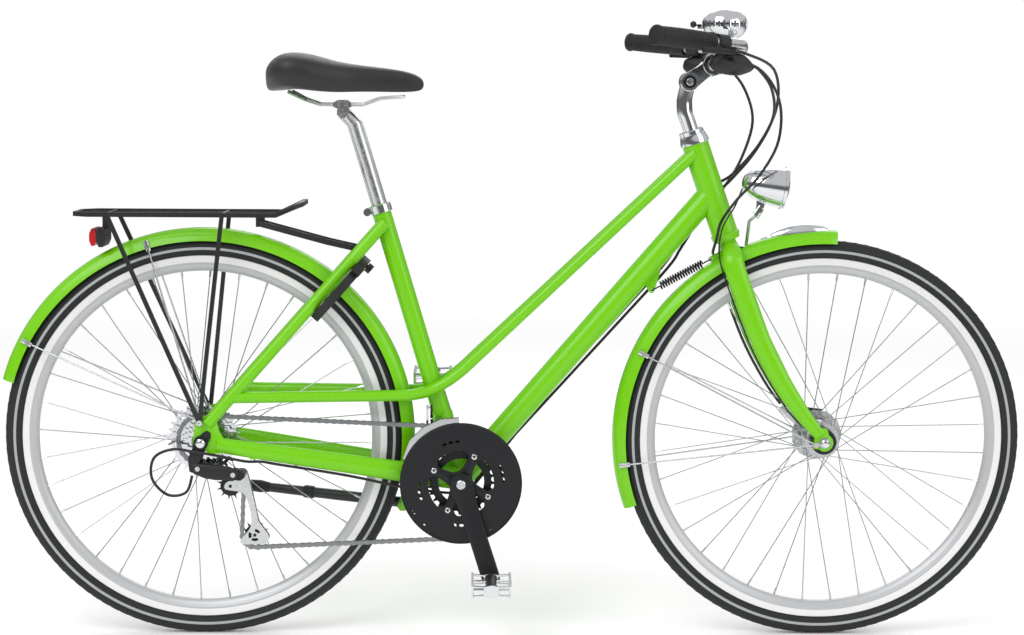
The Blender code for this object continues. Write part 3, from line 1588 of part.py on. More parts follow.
def make_controls():
    # Clamp with the brake lever's bracket and the shifter's housing, one moulding
    u = Vector((grip_direction.x, grip_direction.y, 0)).normalized()
    bore = bore_for(bar_radius, 8)
    ring = [(bore, -0.0110), (0.0158, -0.0110), (0.0158, 0.0110), (bore, 0.0110)]
    bracket = lathe("right_control_bracket", ring, control_base, grip_direction, None, 8, True, phase=math.pi / 8)
    path = [control_point(0, 0.0110, -0.0110), control_point(0, 0.0215, -0.0150)]
    parts = [sweep("arm", path, [(0.0100, 0.0110)] * 2, None, 4, grip_direction)]
    path = [
        control_point(0.0040, 0.0120, -0.0280),
        control_point(-0.0080, 0.0160, -0.0300),
        control_point(-0.0340, 0.0180, -0.0340),
        control_point(-0.0460, 0.0180, -0.0350),
    ]
    sizes = [(0.0080, 0.0100), (0.0150, 0.0130), (0.0140, 0.0120), (0.0080, 0.0070)]
    parts.append(sweep("housing", path, sizes, None, 6, across, 0.0))
    front, thumb = lever_pivot, thumb_pivot
    for rise in (-0.0088, 0.0066):
        outline = [(-0.0045, 0.0035), (0.0, 0.0055), (0.0045, 0.0035), (0.0060, -0.0120), (-0.0060, -0.0120)]
        parts.append(plate("ear", outline, 0.0022, front + upward * rise, None, u, control_front))
    parts.append(rod("pin", front - upward * 0.0080, front + upward * 0.0080, 0.0016, None, 6))
    parts.append(rod("thumb_pin", thumb + upward * 0.0060, thumb - upward * 0.0085, 0.0018, None, 6))
    carry("steering", paint(fuse(bracket, *parts), "black_plastic"))
    mirror_piece(bracket, "left_control_bracket", "steering")

    path = [
        front,
        front + grip_direction * 0.0140 + control_front * 0.0060,
        front + grip_direction * 0.0420 + control_front * 0.0130 - upward * 0.0010,
        front + grip_direction * lever_reach + control_front * 0.0165 - upward * 0.0040,
    ]
    sizes = [(0.0048, 0.0040), (0.0052, 0.0036), (0.0062, 0.0032), (0.0048, 0.0034)]
    lever = sweep("right_brake_lever", path, sizes, None, 6, upward)
    fuse(lever, rod("hub", front - upward * 0.0058, front + upward * 0.0058, 0.0052, None, 6))
    cut(lever, rod("bore", front - upward * 0.02, front + upward * 0.02, bore_for(0.0016, 6, 0.0004), None, 6))
    carry("right_brake_lever", paint(lever, "black_plastic"))
    mirror_piece(lever, "left_brake_lever", "left_brake_lever")

    path = [
        thumb - upward * 0.0064,
        thumb - upward * 0.0072 - control_front * 0.0150 + grip_direction * 0.0080,
        thumb - upward * 0.0050 - control_front * 0.0290 + grip_direction * 0.0140,
    ]
    blade = sweep("right_shift_lever", path, [(0.0016, 0.0060)] * 2 + [(0.0022, 0.0070)], None, 4, upward)
    fuse(blade, rod("hub", thumb - upward * 0.0079, thumb - upward * 0.0040, 0.0062, None, 6))
    cut(blade, rod("bore", thumb - upward * 0.02, thumb, bore_for(0.0018, 6, 0.0004), None, 6))
    carry("right_shift_lever", paint(blade, "black_plastic"))
    mirror_piece(blade, "left_shift_lever", "left_shift_lever")


bell_centre = bar_centre + Vector((0.0095, -0.090, 0.0670))
bell_clamp = bar_centre + Vector((0.0218, -0.0955, 0.0130))
bell_radius = 0.0378
bell_lever_place = bell_centre + Vector((-0.0425, 0.0, -0.0030))


def make_bell():
    # Two thin shells on a centre post, with a clamp below. Their rims stand apart, so the inside is open
    half = [(bell_radius, 0.0010), (0.0290, 0.0195), (0.0, 0.0275)]
    inner = [(0.0040, 0.0250), (0.0280, 0.0180), (bell_radius - 0.0015, 0.0010)]
    lower = [(r, -z) for r, z in reversed(half)] + [(r, -z) for r, z in reversed(inner)]
    shell = lathe("bell", lower + inner + half, bell_centre, upward, None, 11)
    direction = Vector((0.2, -0.95, 0.2)).normalized()
    ring = [(0.0126, -0.0050), (0.0155, -0.0050), (0.0155, 0.0050), (0.0126, 0.0050)]
    clamp = lathe("clamp", ring, bell_clamp, direction, None, 7, True)
    top = bell_clamp + Vector((-0.004, 0, 0.0135))
    stalk = rod("stalk", top, bell_centre + Vector((-0.002, -0.002, -0.0256)), 0.0060, None, 5)
    ear = plate(
        "ear",
        [(-0.0035, -0.0030), (0.0120, -0.0040), (0.0120, 0.0040), (-0.0035, 0.0030)],
        0.0020,
        bell_lever_place - upward * 0.0050,
        None,
        forward,
        across,
    )
    pin = rod("pin", bell_lever_place - upward * 0.0045, bell_lever_place + upward * 0.0028, 0.0014, None, 6)
    carry("steering", paint(fuse(shell, clamp, stalk, ear, pin), "chrome"))
    hub = rod("bell_lever", bell_lever_place - upward * 0.0026, bell_lever_place + upward * 0.0022, 0.0036, None, 6)
    ball_place = bell_lever_place + Vector((-0.0110, -0.0035, 0.0020))
    arm = rod("arm", bell_lever_place, ball_place, 0.0018, None, 4, upward)
    ball = lathe("ball", [(0.0, -0.0064), (0.0055, -0.0032), (0.0055, 0.0032), (0.0, 0.0064)], ball_place, upward, None, 6)
    fuse(hub, arm, ball)
    low, high = bell_lever_place - upward * 0.02, bell_lever_place + upward * 0.02
    cut(hub, rod("bore", low, high, bore_for(0.0014, 6, 0.0004), None, 6))
    carry("bell_lever", paint(hub, "black_plastic"))


# Headlight
lamp_tilt = math.radians(-9)
lamp_axis = Vector((math.cos(lamp_tilt), 0, math.sin(lamp_tilt)))
lamp_up = Vector((-math.sin(lamp_tilt), 0, math.cos(lamp_tilt)))
lamp_length = 0.0750
lamp_rim = from_rear(1.0060, 0.7860)
lamp_tail = lamp_rim - lamp_axis * lamp_length
lamp_pivot = lamp_rim - lamp_axis * 0.0370 - lamp_up * 0.0440


def make_headlight():
    outer = [
        (0.0, 0.0),
        (0.0150, 0.0050),
        (0.0275, 0.0270),
        (0.0345, 0.0695),
        (0.0345, lamp_length),
    ]
    inner = [(0.0326, lamp_length), (0.0326, 0.0696), (0.0300, 0.0690), (0.0245, 0.0300), (0.0, 0.0110)]
    shell = lathe("headlight_shell", outer + inner, lamp_tail, lamp_axis, None, 12)
    top = lamp_pivot + lamp_up * 0.0160
    tongue = plate(
        "tongue",
        hull_outline([(lamp_pivot.x, lamp_pivot.z, 0.0060), (top.x, top.z, 0.0080)], 6),
        0.0070,
        Vector((0, 0.0035, 0)),
        None,
        holes=[circle_outline(lamp_pivot.x, lamp_pivot.z, bore_for(0.0022, 6, 0.0003), 6)],
    )
    carry("headlight", paint(fuse(shell, tongue), "chrome"))
    lens = [(0.0, 0.0765), (0.0322, lamp_length - 0.0008), (0.0322, 0.0699), (0.0, 0.0699)]
    carry("headlight", lathe("headlight_lens", lens, lamp_tail, lamp_axis, "clear_plastic", 12))


def lamp_bracket():
    # Flat strip from the crown with two ears and the bolt that the lamp tilts on
    foot = steer(crown_middle, 0.0100)
    path = [
        foot,
        foot + Vector((0.0200, 0, -0.0040)),
        lamp_pivot + Vector((-0.0170, 0, -0.0200)),
        lamp_pivot + Vector((-0.0065, 0, -0.0105)),
    ]
    parts = [sweep("strip", path, [(0.0110, 0.0021)] * 4, None, 4)]
    for side in (-1, 1):
        low = Vector((lamp_pivot.x - 0.0075, side * 0.0058, lamp_pivot.z - 0.0120))
        high = Vector((lamp_pivot.x + 0.0026, side * 0.0058, lamp_pivot.z + 0.0042))
        parts.append(slab("ear", low, high, 0.0018, 0.0048))
    parts.append(rod("pin", lamp_pivot - across * 0.0090, lamp_pivot + across * 0.0090, 0.0022, None, 5))
    return parts


# Fenders with their wire stays
def fender(name, centre, start, end):
    steps = max(6, round((end - start) / math.radians(14.8)))
    wall = fender_wall
    half = [
        (fender_radius - fender_lip, fender_half_width),
        (fender_radius - 0.0050, fender_half_width * 0.88),
        (fender_radius, 0.0),
    ]
    outer = [(r, -y) for r, y in half[:2]] + half[::-1]
    inner = [(r - wall, y - wall if y > 0 else y) for r, y in half[1:]]
    inner = [(half[0][0], half[0][1] - wall)] + inner
    section = outer + inner + [(r, -y) for r, y in inner[:2][::-1]]
    rings = []
    for k in range(steps + 1):
        angle = start + (end - start) * k / steps
        rings.append([on_wheel(centre, radius, angle, y) for radius, y in section])
    return skin(name, rings)


def fender_stays(centre, eyelet, eyelet_y, angles):
    # Wires from an eyelet on each side up to the fender's edge, with the eyes they are bolted by
    place = centre + Vector((eyelet[0], 0, eyelet[1]))
    parts = []
    for side in (-1, 1):
        foot = place + across * (side * eyelet_y)
        for angle in angles:
            edge = on_wheel(centre, fender_radius - fender_lip + 0.0030, angle, side * (fender_half_width - 0.0004))
            parts.append(rod("wire", foot, edge, stay_wire_radius, None, 4, forward if abs(math.cos(angle)) < 0.5 else upward))
        parts.append(rod("eye", foot - across * 0.0022, foot + across * 0.0022, 0.0048, None, 6))
    return parts


def ornament():
    # Long low cap on the crest of the front fender
    rings = []
    start, end = math.radians(89), math.radians(107.5)
    base = fender_radius - 0.0045
    for k in range(6):
        t = k / 5
        angle = start + (end - start) * t
        swell = max(0.15, math.sin(math.pi * min(1.0, t * 1.12 + 0.02)) ** 0.55)
        half, rise = 0.0125 * swell, 0.0050 + 0.0125 * swell
        section = [(-half, 0), (-half * 0.8, rise * 0.75), (0, rise), (half * 0.8, rise * 0.75), (half, 0)]
        rings.append([on_wheel(front_axle, base + z, angle, y) for y, z in section])
    return skin("ornament", rings)


def make_fenders():
    parts = fender_stays(
        front_axle,
        (-0.0145, -0.0035),
        front_hub_width / 2 + dropout_thickness + 0.0026,
        (math.radians(154.5), math.radians(187.5)),
    )
    front = fender("front_fender", front_axle, front_fender_start, front_fender_end)
    carry("steering", paint(fuse(front, ornament(), *parts), "green_paint"))
    parts = fender_stays(
        rear_axle,
        (-0.0017, 0.0347),
        rear_hub_width / 2 - 0.0026,
        (math.radians(106), math.radians(151.5)),
    )
    rear = fender("rear_fender", rear_axle, rear_fender_start, rear_fender_end)
    carry("frame_body", paint(fuse(rear, *parts), "green_paint"))


# Rack with its legs, strut and rear light
def make_rack():
    front = from_rear(0.172, rack_height + 0.019)
    bend = from_rear(rack_front_reach, rack_height)
    rear = from_rear(-rack_rear_reach, rack_height)
    half = rack_half_width
    rail = [
        front + across * -(half - 0.010),
        front + across * -half + Vector((-0.014, 0, -0.0060)),
        bend + across * -half,
        rear + across * -half + forward * 0.022,
        rear + across * -(half - 0.022),
    ]
    loop = rail + mirrored(rail, -1)[::-1]
    rack = sweep("rack", loop, rack_tube_radius * 1.1, None, 4, upward, loop=True)
    parts = [
        sweep(
            "middle",
            [front - forward * 0.001, front + Vector((-0.020, 0, -0.0085)), bend, rear],
            0.0038,
            None,
            4,
        )
    ]
    for x in (rack_leg_rear, rack_leg_front):
        place = from_rear(x, rack_height)
        parts.append(rod("cross", place - across * half, place + across * half, 0.0038, None, 4))
    foot_y = rear_hub_width / 2 + dropout_thickness + gap + 0.0042
    foot = rear_axle + Vector((-0.0017, 0, 0.0347))
    for side in (-1, 1):
        for x in (rack_leg_rear, rack_leg_front):
            top = from_rear(x, rack_height, half * side)
            knee = foot.lerp(from_rear(x, rack_height), 0.30) + across * (side * (foot_y - 0.002))
            path = [top, knee, foot + across * (side * foot_y)]
            parts.append(sweep("leg", path, [(0.0050, 0.0050), (0.0050, 0.0050), (0.0040, 0.0054)], None, 4))
        start = foot + across * (side * (foot_y + 0.0050))
        end = foot + across * (side * (rear_hub_width / 2 + 0.001))
        parts.append(rod("bolt", start, end, 0.0019, None, 5))

    # Strap from both seat stays to a clamp block under the deck
    stay = stay_point(0.1335)
    inner_face = 0.0351 - seat_stay_radius - 0.0030
    half = [
        Vector((stay.x, -inner_face, stay.z)),
        from_rear(0.2150, 0.6900, -inner_face),
        from_rear(0.0970, 0.7215, -inner_face),
    ]
    parts.append(sweep("strut", half + mirrored(half, -1)[::-1], [(0.0070, 0.0020)] * 6, None, 4, upward))
    block = [from_rear(0.0970, 0.7150), from_rear(0.0970, rack_height)]
    parts.append(sweep("block", block, [(0.0150, 0.0100)] * 2, None, 4))
    for side in (-1, 1):
        place = Vector((stay.x, 0, stay.z))
        start = place + across * (side * (inner_face - 0.0060))
        parts.append(rod("bolt", start, place + across * (side * (inner_face + 0.0015)), 0.0034, None, 4))
    carry("frame_body", paint(fuse(rack, *parts), "black_paint"))

    lamp_top = rack_height - 0.0027 - gap
    tab_x = from_rear(-0.1700, 0).x
    ends = [from_rear(-0.1740, 0.6970, -0.036), from_rear(-0.1740, 0.6970, 0.036)]
    housing = sweep("rear_light_housing", ends, [(0.0180, 0.0080)] * 2, None, 8, upward)
    tab = rod("tab", Vector((tab_x, 0, 0.7100)), Vector((tab_x, 0, lamp_top)), 0.0060, None, 6)
    carry("frame_body", paint(fuse(housing, tab), "black_plastic"))
    ends = [from_rear(-0.1878, 0.6970, -0.032), from_rear(-0.1878, 0.6970, 0.032)]
    carry("frame_body", sweep("rear_light_lens", ends, [(0.0160, 0.0066)] * 2, "red_plastic", 8, upward))


# Ring lock in a plane along the seat stays, just ahead of them
stay_direction = (stay_point(0) - stay_point(1)).normalized()
lock_out = across.cross(stay_direction) * -1
if lock_out.x < 0:
    lock_out = -lock_out


def lock_centre_point():
    low, high = 0.0, 1.0
    for _ in range(40):
        middle = (low + high) / 2
        if (stay_point(middle) - rear_axle).length > lock_centre_radius:
            low = middle
        else:
            high = middle
    return stay_point(low) + lock_out * (seat_stay_radius + 0.0006 + lock_depth / 2)


lock_centre = lock_centre_point()


def lock_ring(angle, radius, depth):
    out = stay_direction * math.cos(angle) + across * math.sin(angle)
    return lock_centre + out * radius + lock_out * depth


def make_ring_lock():
    wall = lock_wall
    depth = lock_depth / 2
    slot = shackle_radius + 0.0014
    section = [
        (-wall, -depth),
        (wall, -depth),
        (wall, depth),
        (slot, depth),
        (slot, -depth + 0.0022),
        (-slot, -depth + 0.0022),
        (-slot, depth),
        (-wall, depth),
    ]
    reach = math.pi - lock_opening_half
    rings = []
    steps = 14
    for k in range(steps + 1):
        angle = -reach + 2 * reach * k / steps
        rings.append([lock_ring(angle, lock_ring_radius + a, b) for a, b in section])
    body = skin("ring_lock_body", rings)
    place = lock_ring(math.radians(-50), lock_ring_radius + wall + 0.0070, 0)
    cylinder = rod("cylinder", place - lock_out * depth, place + lock_out * (depth + 0.0010), 0.0095, None, 6)
    carry("frame_body", paint(fuse(body, cylinder), "black_plastic"))
    path = []
    steps = 9
    for k in range(steps + 1):
        path.append(lock_ring(shackle_start + shackle_span * k / steps, lock_ring_radius, -0.0005))
    shackle = sweep("ring_lock_shackle", path, shackle_radius, None, 5, lock_out)
    knob_foot = lock_ring(shackle_start + math.radians(5), lock_ring_radius, 0)
    knob = rod("knob", knob_foot, knob_foot + lock_out * (depth + 0.0120), 0.0038, None, 5)
    pad = rod("pad", knob_foot + lock_out * (depth + 0.0020), knob_foot + lock_out * (depth + 0.0120), 0.0085, None, 6)
    carry("ring_lock_shackle", paint(fuse(shackle, knob, pad), "black_plastic"))


# Saddle, rails and seat post
saddle_plan = (
    (0.000, 0.030, 0.985, 0.966, 0.950),
    (0.010, 0.062, 1.002, 0.962, 0.948),
    (0.030, 0.082, 1.0150, 0.957, 0.950),
    (0.056, saddle_half_width, 1.0172, 0.951, 0.953),
    (0.084, 0.078, 1.0125, 0.945, 0.956),
    (0.112, 0.060, 1.0040, 0.942, 0.958),
    (0.140, 0.043, 0.9970, 0.943, 0.957),
    (0.168, 0.031, 0.9935, 0.945, 0.954),
    (0.200, 0.0240, 0.9900, 0.946, 0.951),
    (0.232, 0.0205, 0.9860, 0.946, 0.950),
    (0.258, 0.0165, 0.9795, 0.947, 0.951),
    (0.272, 0.0090, 0.9690, 0.952, 0.955),
)
rail_level = 0.9270


def make_saddle():
    # A padded shell: crowned top, sides drawn in below the widest line, hollow underneath
    rings = []
    for along, half, top, edge, hollow in saddle_plan:
        middle = (top + edge) / 2
        section = []
        for side_width, level in (
            (0.80, edge),
            (0.97, edge + (middle - edge) * 0.55),
            (1.00, middle + (top - middle) * 0.15),
            (0.93, middle + (top - middle) * 0.58),
            (0.74, top - (top - middle) * 0.17),
            (0.42, top - (top - middle) * 0.02),
        ):
            section.append((side_width * half, level))
        crown = (0.0, top - (0.0018 if half > 0.05 else 0.0))
        left = [(-y, z) for y, z in section]
        ring = section + [crown] + left[::-1] + [(-0.55 * half, hollow), (0.55 * half, hollow)]
        rings.append([from_rear(saddle_rear + along * saddle_length / 0.276, z, y) for y, z in ring])
    carry("seat_post", skin("saddle", rings, "black_leather"))


def rail_half(side):
    points = [
        (0.150, 0.9484, 0.046),
        (0.176, 0.9360, 0.032),
        (0.202, rail_level, rail_spread),
        (0.274, rail_level, rail_spread),
        (0.304, 0.9375, 0.0170),
        (0.338, 0.9405, 0.0080),
        (0.345, 0.9405, 0.0035),
    ]
    return [from_rear(x, z, y * side) for x, z, y in points]


def make_seat_post():
    path = rail_half(-1) + rail_half(1)[::-1]
    carry("seat_post", sweep("saddle_rails", path, rail_radius, "polished_metal", 5, upward))
    bottom = seat_top - seat_axis * seatpost_insertion
    bend = bottom_bracket + seat_axis * ((0.893 - bottom_bracket.z) / seat_axis.z)
    head = from_rear(0.2400, 0.9130)
    path = [bottom, bend, bend.lerp(head, 0.55) + Vector((-0.001, 0, 0.002)), head]
    post = sweep("seat_post", path, [(0.0136, 0.0136), (0.0136, 0.0136), (0.0130, 0.0125), (0.0130, 0.0110)], None, 10)
    cradle = sweep(
        "cradle",
        [from_rear(0.2400, rail_level - 0.0005, -0.0300), from_rear(0.2400, rail_level - 0.0005, 0.0300)],
        [(0.0085, 0.0170), (0.0085, 0.0170)],
        None,
        8,
        upward,
    )
    barrel = rod("barrel", from_rear(0.2400, 0.9130, -0.0190), from_rear(0.2400, 0.9130, 0.0190), 0.0100, None, 8)
    fuse(post, barrel, cradle)
    bores = []
    for side in (-1, 1):
        start = from_rear(0.2100, rail_level, rail_spread * side)
        end = from_rear(0.2700, rail_level, rail_spread * side)
        bores.append(rod("bore", start, end, bore_for(rail_radius, 6), None, 6))
    cut(post, *bores)
    carry("seat_post", paint(post, "brushed_metal"))


def make_kickstand():
    along = (stand_foot - stand_pivot).normalized()
    reach = (stand_foot - stand_pivot).length
    eye = rod("kickstand_leg", stand_pivot - stand_hinge * 0.0055, stand_pivot + stand_hinge * 0.0055, 0.0105, None, 10)
    stations = [(0.004, 0.0050, 0.0090), (reach * 0.46, 0.0070, 0.0080), (reach - 0.026, 0.0062, 0.0062)]
    path = [stand_pivot + along * r for r, a, b in stations]
    leg = sweep("leg", path, [(a, b) for r, a, b in stations], None, 6)
    profile = [(0.0, reach + 0.012), (0.0095, reach + 0.010), (0.0110, reach - 0.010), (0.0080, reach - 0.027), (0.0, reach - 0.027)]
    foot = lathe("foot", profile, stand_pivot, along, None, 7)
    fuse(eye, leg, foot)
    bore = bore_for(0.0038, 6, 0.0004)
    cut(eye, rod("bore", stand_pivot - stand_hinge * 0.03, stand_pivot + stand_hinge * 0.03, bore, None, 6))
    carry("kickstand", paint(eye, "black_paint"))


# Stabiliser spring between the down tube and the fork
spring_turns = 9
spring_radius = 0.0060
spring_wire = 0.0011
spring_points = 8


def make_spring():
    start, end = spring_frame_end, spring_fork_end
    along = (end - start).normalized()
    side = across
    up = along.cross(side)
    reach = (end - start).length
    lead = 0.0260
    path = [
        start + across * 0.0042 - along * 0.0008,
        start + across * 0.0012,
        start - across * 0.0036 + along * 0.0006,
        start - across * 0.0040 + along * 0.0045,
        start - across * 0.0020 + along * (lead - 0.0045),
    ]
    coil_start = len(path)
    count = spring_turns * spring_points
    for k in range(count + 1):
        angle = 2 * math.pi * k / spring_points + math.pi
        shift = lead + (reach - 2 * lead) * k / count
        path.append(start + along * shift + side * (spring_radius * math.cos(angle)) + up * (spring_radius * math.sin(angle)))
    coil = path[coil_start:]
    path += [
        end - across * 0.0020 - along * (lead - 0.0045),
        end - across * 0.0040 - along * 0.0045,
        end - across * 0.0036 - along * 0.0006,
        end + across * 0.0012,
        end + across * 0.0042 + along * 0.0008,
    ]
    least = min(
        (coil[i] - coil[j]).length
        for i in range(len(coil))
        for j in range(i + spring_points // 2 + 1, min(len(coil), i + 2 * spring_points))
    )
    print(f"Stabiliser spring: least gap between curls {1000 * (least - 2 * spring_wire):.2f} mm")
    curve = bpy.data.curves.new("stabiliser_spring", "CURVE")
    curve.dimensions = "3D"
    curve.bevel_depth = spring_wire
    curve.bevel_resolution = 1
    curve.use_fill_caps = True
    spline = curve.splines.new("POLY")
    spline.points.add(len(path) - 1)
    for slot, point in zip(spline.points, path):
        slot.co = (*point, 1.0)
    spring = add_object("stabiliser_spring", curve, "polished_metal")
    spring.parent = bodies["frame_body"]


# Brake, shift and light cables
down_direction = (steer(fork_length + down_tube_joint) - bottom_bracket).normalized()
down_perp = Vector((-down_direction.z, 0, down_direction.x))
def beside_down_tube(distance, angle, clearance=0.0012, radius=housing_radius):
    # A point beside the down tube, with the angle counted from the left side downwards
    out = across * math.cos(math.radians(angle)) - down_perp * math.sin(math.radians(angle))
    return bottom_bracket + down_direction * distance + out * (down_tube_radius + radius + clearance)


def stay_side(distance, outward, drop, side):
    # A point beside a chain stay's centre line
    plan = chain_stay_plan
    for (d0, y0, *_), (d1, y1, *_) in zip(plan, plan[1:]):
        if d0 <= distance <= d1:
            y = y0 + (y1 - y0) * (distance - d0) / (d1 - d0)
    point = chain_stay_point(distance)
    return Vector((point.x, side * (y + outward), point.z - drop))


def run_cable(name, body, points, sides=4):
    # points are (place, radius) along the cable's route
    side = Vector((0.31, 0.83, 0.46)).normalized()
    route = [place for place, radius in points]
    carry(body, sweep(name, route, [radius for place, radius in points], "cable_black", sides, side))


def make_cables():
    thick, thin = housing_radius, wire_radius
    shift_exit = control_point(-0.0474, 0.0180, -0.0351)
    brake_exit = control_point(-0.0092, 0.0165, -0.0130)
    left_shift_exit, left_brake_exit = mirrored([shift_exit, brake_exit], -1)
    stop = list(stop_holes)

    run_cable(
        "rear_shift_cable",
        "frame_body",
        [
            (shift_exit, thick),
            (shift_exit - grip_direction * 0.018, thick),
            (from_rear(0.958, 0.958, -0.165), thick),
            (from_rear(0.970, 0.910, -0.100), thick),
            (from_rear(0.950, 0.850, -0.025), thick),
            (from_rear(0.915, 0.800, 0.020), thick),
            (from_rear(0.880, 0.762, 0.0340), thick),
            (beside_down_tube(0.560, 30), thick),
            (beside_down_tube(0.480, 55), thick),
            (beside_down_tube(0.120, 58), thick),
            (bottom_bracket + Vector((0.0120, -0.0060, -0.0262)), thin),
            (bottom_bracket + Vector((-0.0080, -0.0130, -0.0262)), thin),
            (stay_side(0.050, 0.0060, 0.0270, -1), thin),
            (stay_side(0.100, 0.0040, 0.0270, -1), thin),
            (stay_side(0.200, 0.0020, 0.0205, -1), thin),
            (stay_side(0.320, 0.0030, 0.0180, -1), thin),
            (stop[1], thick),
            (stop[0], thick),
            (from_rear(0.046, 0.3225, -0.0790), thick),
            (from_rear(0.018, 0.3290, -0.0835), thick),
            (from_rear(-0.014, 0.3340, -0.0835), thick),
            (from_rear(-0.048, 0.3375, -0.0815), thick),
            (from_rear(-0.080, 0.3220, -0.0775), thick),
            (from_rear(-0.084, 0.2860, -0.0770), thick),
            (from_rear(-0.058, 0.2580, -0.0770), thick),
            (from_rear(-0.026, 0.2620, -0.0780), thick),
            (from_rear(-0.0160, 0.2900, -0.0700), thick),
        ],
    )
    run_cable(
        "front_shift_cable",
        "frame_body",
        [
            (left_shift_exit, thick),
            (left_shift_exit - mirrored([grip_direction], -1)[0] * 0.018, thick),
            (from_rear(0.955, 0.955, 0.170), thick),
            (from_rear(0.962, 0.900, 0.110), thick),
            (from_rear(0.938, 0.835, 0.070), thick),
            (from_rear(0.905, 0.785, 0.0450), thick),
            (from_rear(0.872, 0.748, 0.0400), thick),
            (beside_down_tube(0.560, 8), thick),
            (beside_down_tube(0.480, 30), thick),
            (beside_down_tube(0.120, 34), thick),
            (bottom_bracket + Vector((0.0150, 0.0090, -0.0262)), thin),
            (bottom_bracket + Vector((-0.0120, 0.0090, -0.0250)), thin),
            (bottom_bracket + Vector((-0.0280, 0.0070, -0.0080)), thin),
            (bottom_bracket + Vector((-0.0400, 0.0030, 0.0250)), thin),
            (bottom_bracket + Vector((-0.0460, -0.0080, 0.0680)), thin),
            (Vector((front_derailleur_place(-0.0515), front_link_foot.y + 0.0040, front_link_foot.z - 0.0075)), thin),
        ],
    )
    run_cable(
        "rear_brake_cable",
        "frame_body",
        [
            (brake_exit, thick),
            (brake_exit - grip_direction * 0.030, thick),
            (from_rear(0.966, 0.990, -0.130), thick),
            (from_rear(0.982, 0.930, -0.060), thick),
            (from_rear(0.962, 0.865, 0.000), thick),
            (from_rear(0.920, 0.810, 0.0340), thick),
            (from_rear(0.880, 0.780, 0.0380), thick),
            (beside_down_tube(0.560, -16), thick),
            (beside_down_tube(0.480, 4), thick),
            (beside_down_tube(0.120, 12), thick),
            (bottom_bracket + Vector((0.0180, 0.0300, -0.0226)), thick),
            (bottom_bracket + Vector((-0.0160, 0.0400, -0.0206)), thick),
            (stay_side(0.070, 0.0135, 0.0060, 1), thick),
            (stay_side(0.200, 0.0130, 0.0030, 1), thick),
            (stay_side(0.320, 0.0125, 0.0050, 1), thick),
            (from_rear(0.1080, 0.3150, 0.0730), thick),
            (from_rear(0.0860, 0.3010, 0.0640), thick),
        ],
    )
    run_cable(
        "front_brake_cable",
        "steering",
        [
            (left_brake_exit, thick),
            (left_brake_exit - mirrored([grip_direction], -1)[0] * 0.030, thick),
            (from_rear(0.972, 0.995, 0.130), thick),
            (from_rear(1.000, 0.940, 0.050), thick),
            (from_rear(0.992, 0.870, -0.015), thick),
            (from_rear(0.958, 0.812, -0.043), thick),
            (from_rear(0.918, 0.768, -0.044), thick),
            (steer(0.422, -0.0020, -0.0420), thick),
            (steer(0.396, -0.0180, -0.0320), thick),
            (steer(0.376, -0.0290, -0.0120), thick),
            (steer(0.368, -0.0300, 0.0060), thick),
            (steer(0.352, -0.0290, 0.0280), thick),
            (steer(0.330, -0.0290, 0.0440), thick),
            (steer(0.207, -0.0250, 0.0487), thick),
            (steer(0.120, -0.0110, 0.0510), thick),
            (steer(0.0720, 0.0030, 0.0440), thick),
        ],
    )
    run_cable(
        "lamp_wire",
        "steering",
        [
            (lamp_tail + lamp_axis * 0.004 + Vector((-0.0050, -0.0100, -0.0120)), 0.0014),
            (from_rear(0.915, 0.756, -0.040), 0.0014),
            (from_rear(0.902, 0.738, -0.052), 0.0014),
            (from_rear(0.892, 0.715, -0.050), 0.0014),
            (steer(crown_middle, -0.0215, -0.0300), 0.0014),
            (steer(0.330, -0.0275, -0.0455), 0.0014),
            (steer(0.207, -0.0234, -0.0491), 0.0014),
            (steer(0.120, -0.0092, -0.0530), 0.0014),
            (steer(0.060, 0.0085, -0.0520), 0.0014),
            (front_axle + Vector((-0.0180, -0.0400, 0.0130)), 0.0014),
            (front_axle + Vector((-0.0085, -0.0415, 0.0048)), 0.0014),
        ],
        3,
    )


add_body("headlight", lamp_pivot, "steering")
add_body("bell_lever", bell_lever_place, "steering")
for control, control_side in (("right", -1), ("left", 1)):
    pivots = mirrored([lever_pivot, thumb_pivot], -control_side)
    add_body(control + "_brake_lever", pivots[0], "steering")
    add_body(control + "_shift_lever", pivots[1], "steering")
add_body("seat_post", seat_top, "frame_body")
add_body("ring_lock_shackle", lock_centre, "frame_body")
add_body("kickstand", stand_pivot, "frame_body")

make_fork()
make_stem()
make_bar()
make_controls()
make_bell()
make_headlight()
front_brake = (front_left_flange + flange_half + 0.0030, front_brake_outer)
rear_brake = (rear_left_flange + flange_half + 0.0030, rear_brake_outer)
front_arm = steer(0.0660, 0.0010, 0.0415)
rear_arm = from_rear(0.0800, 0.3020, 0.0575)
make_axle("front_axle", "steering", front_axle, front_hub_width / 2, front_right_flange - 0.0040, front_brake, front_arm)
inner_right = outer_sprocket_line - 0.0022
washer = hanger_thickness + gap
make_axle("rear_axle", "frame_body", rear_axle, rear_hub_width / 2, inner_right, rear_brake, rear_arm, washer)
make_fenders()
make_rack()
make_ring_lock()
make_saddle()
make_seat_post()
make_kickstand()
make_spring()
make_cables()
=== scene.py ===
import math
import bmesh
import bpy
from mathutils import Matrix, Vector


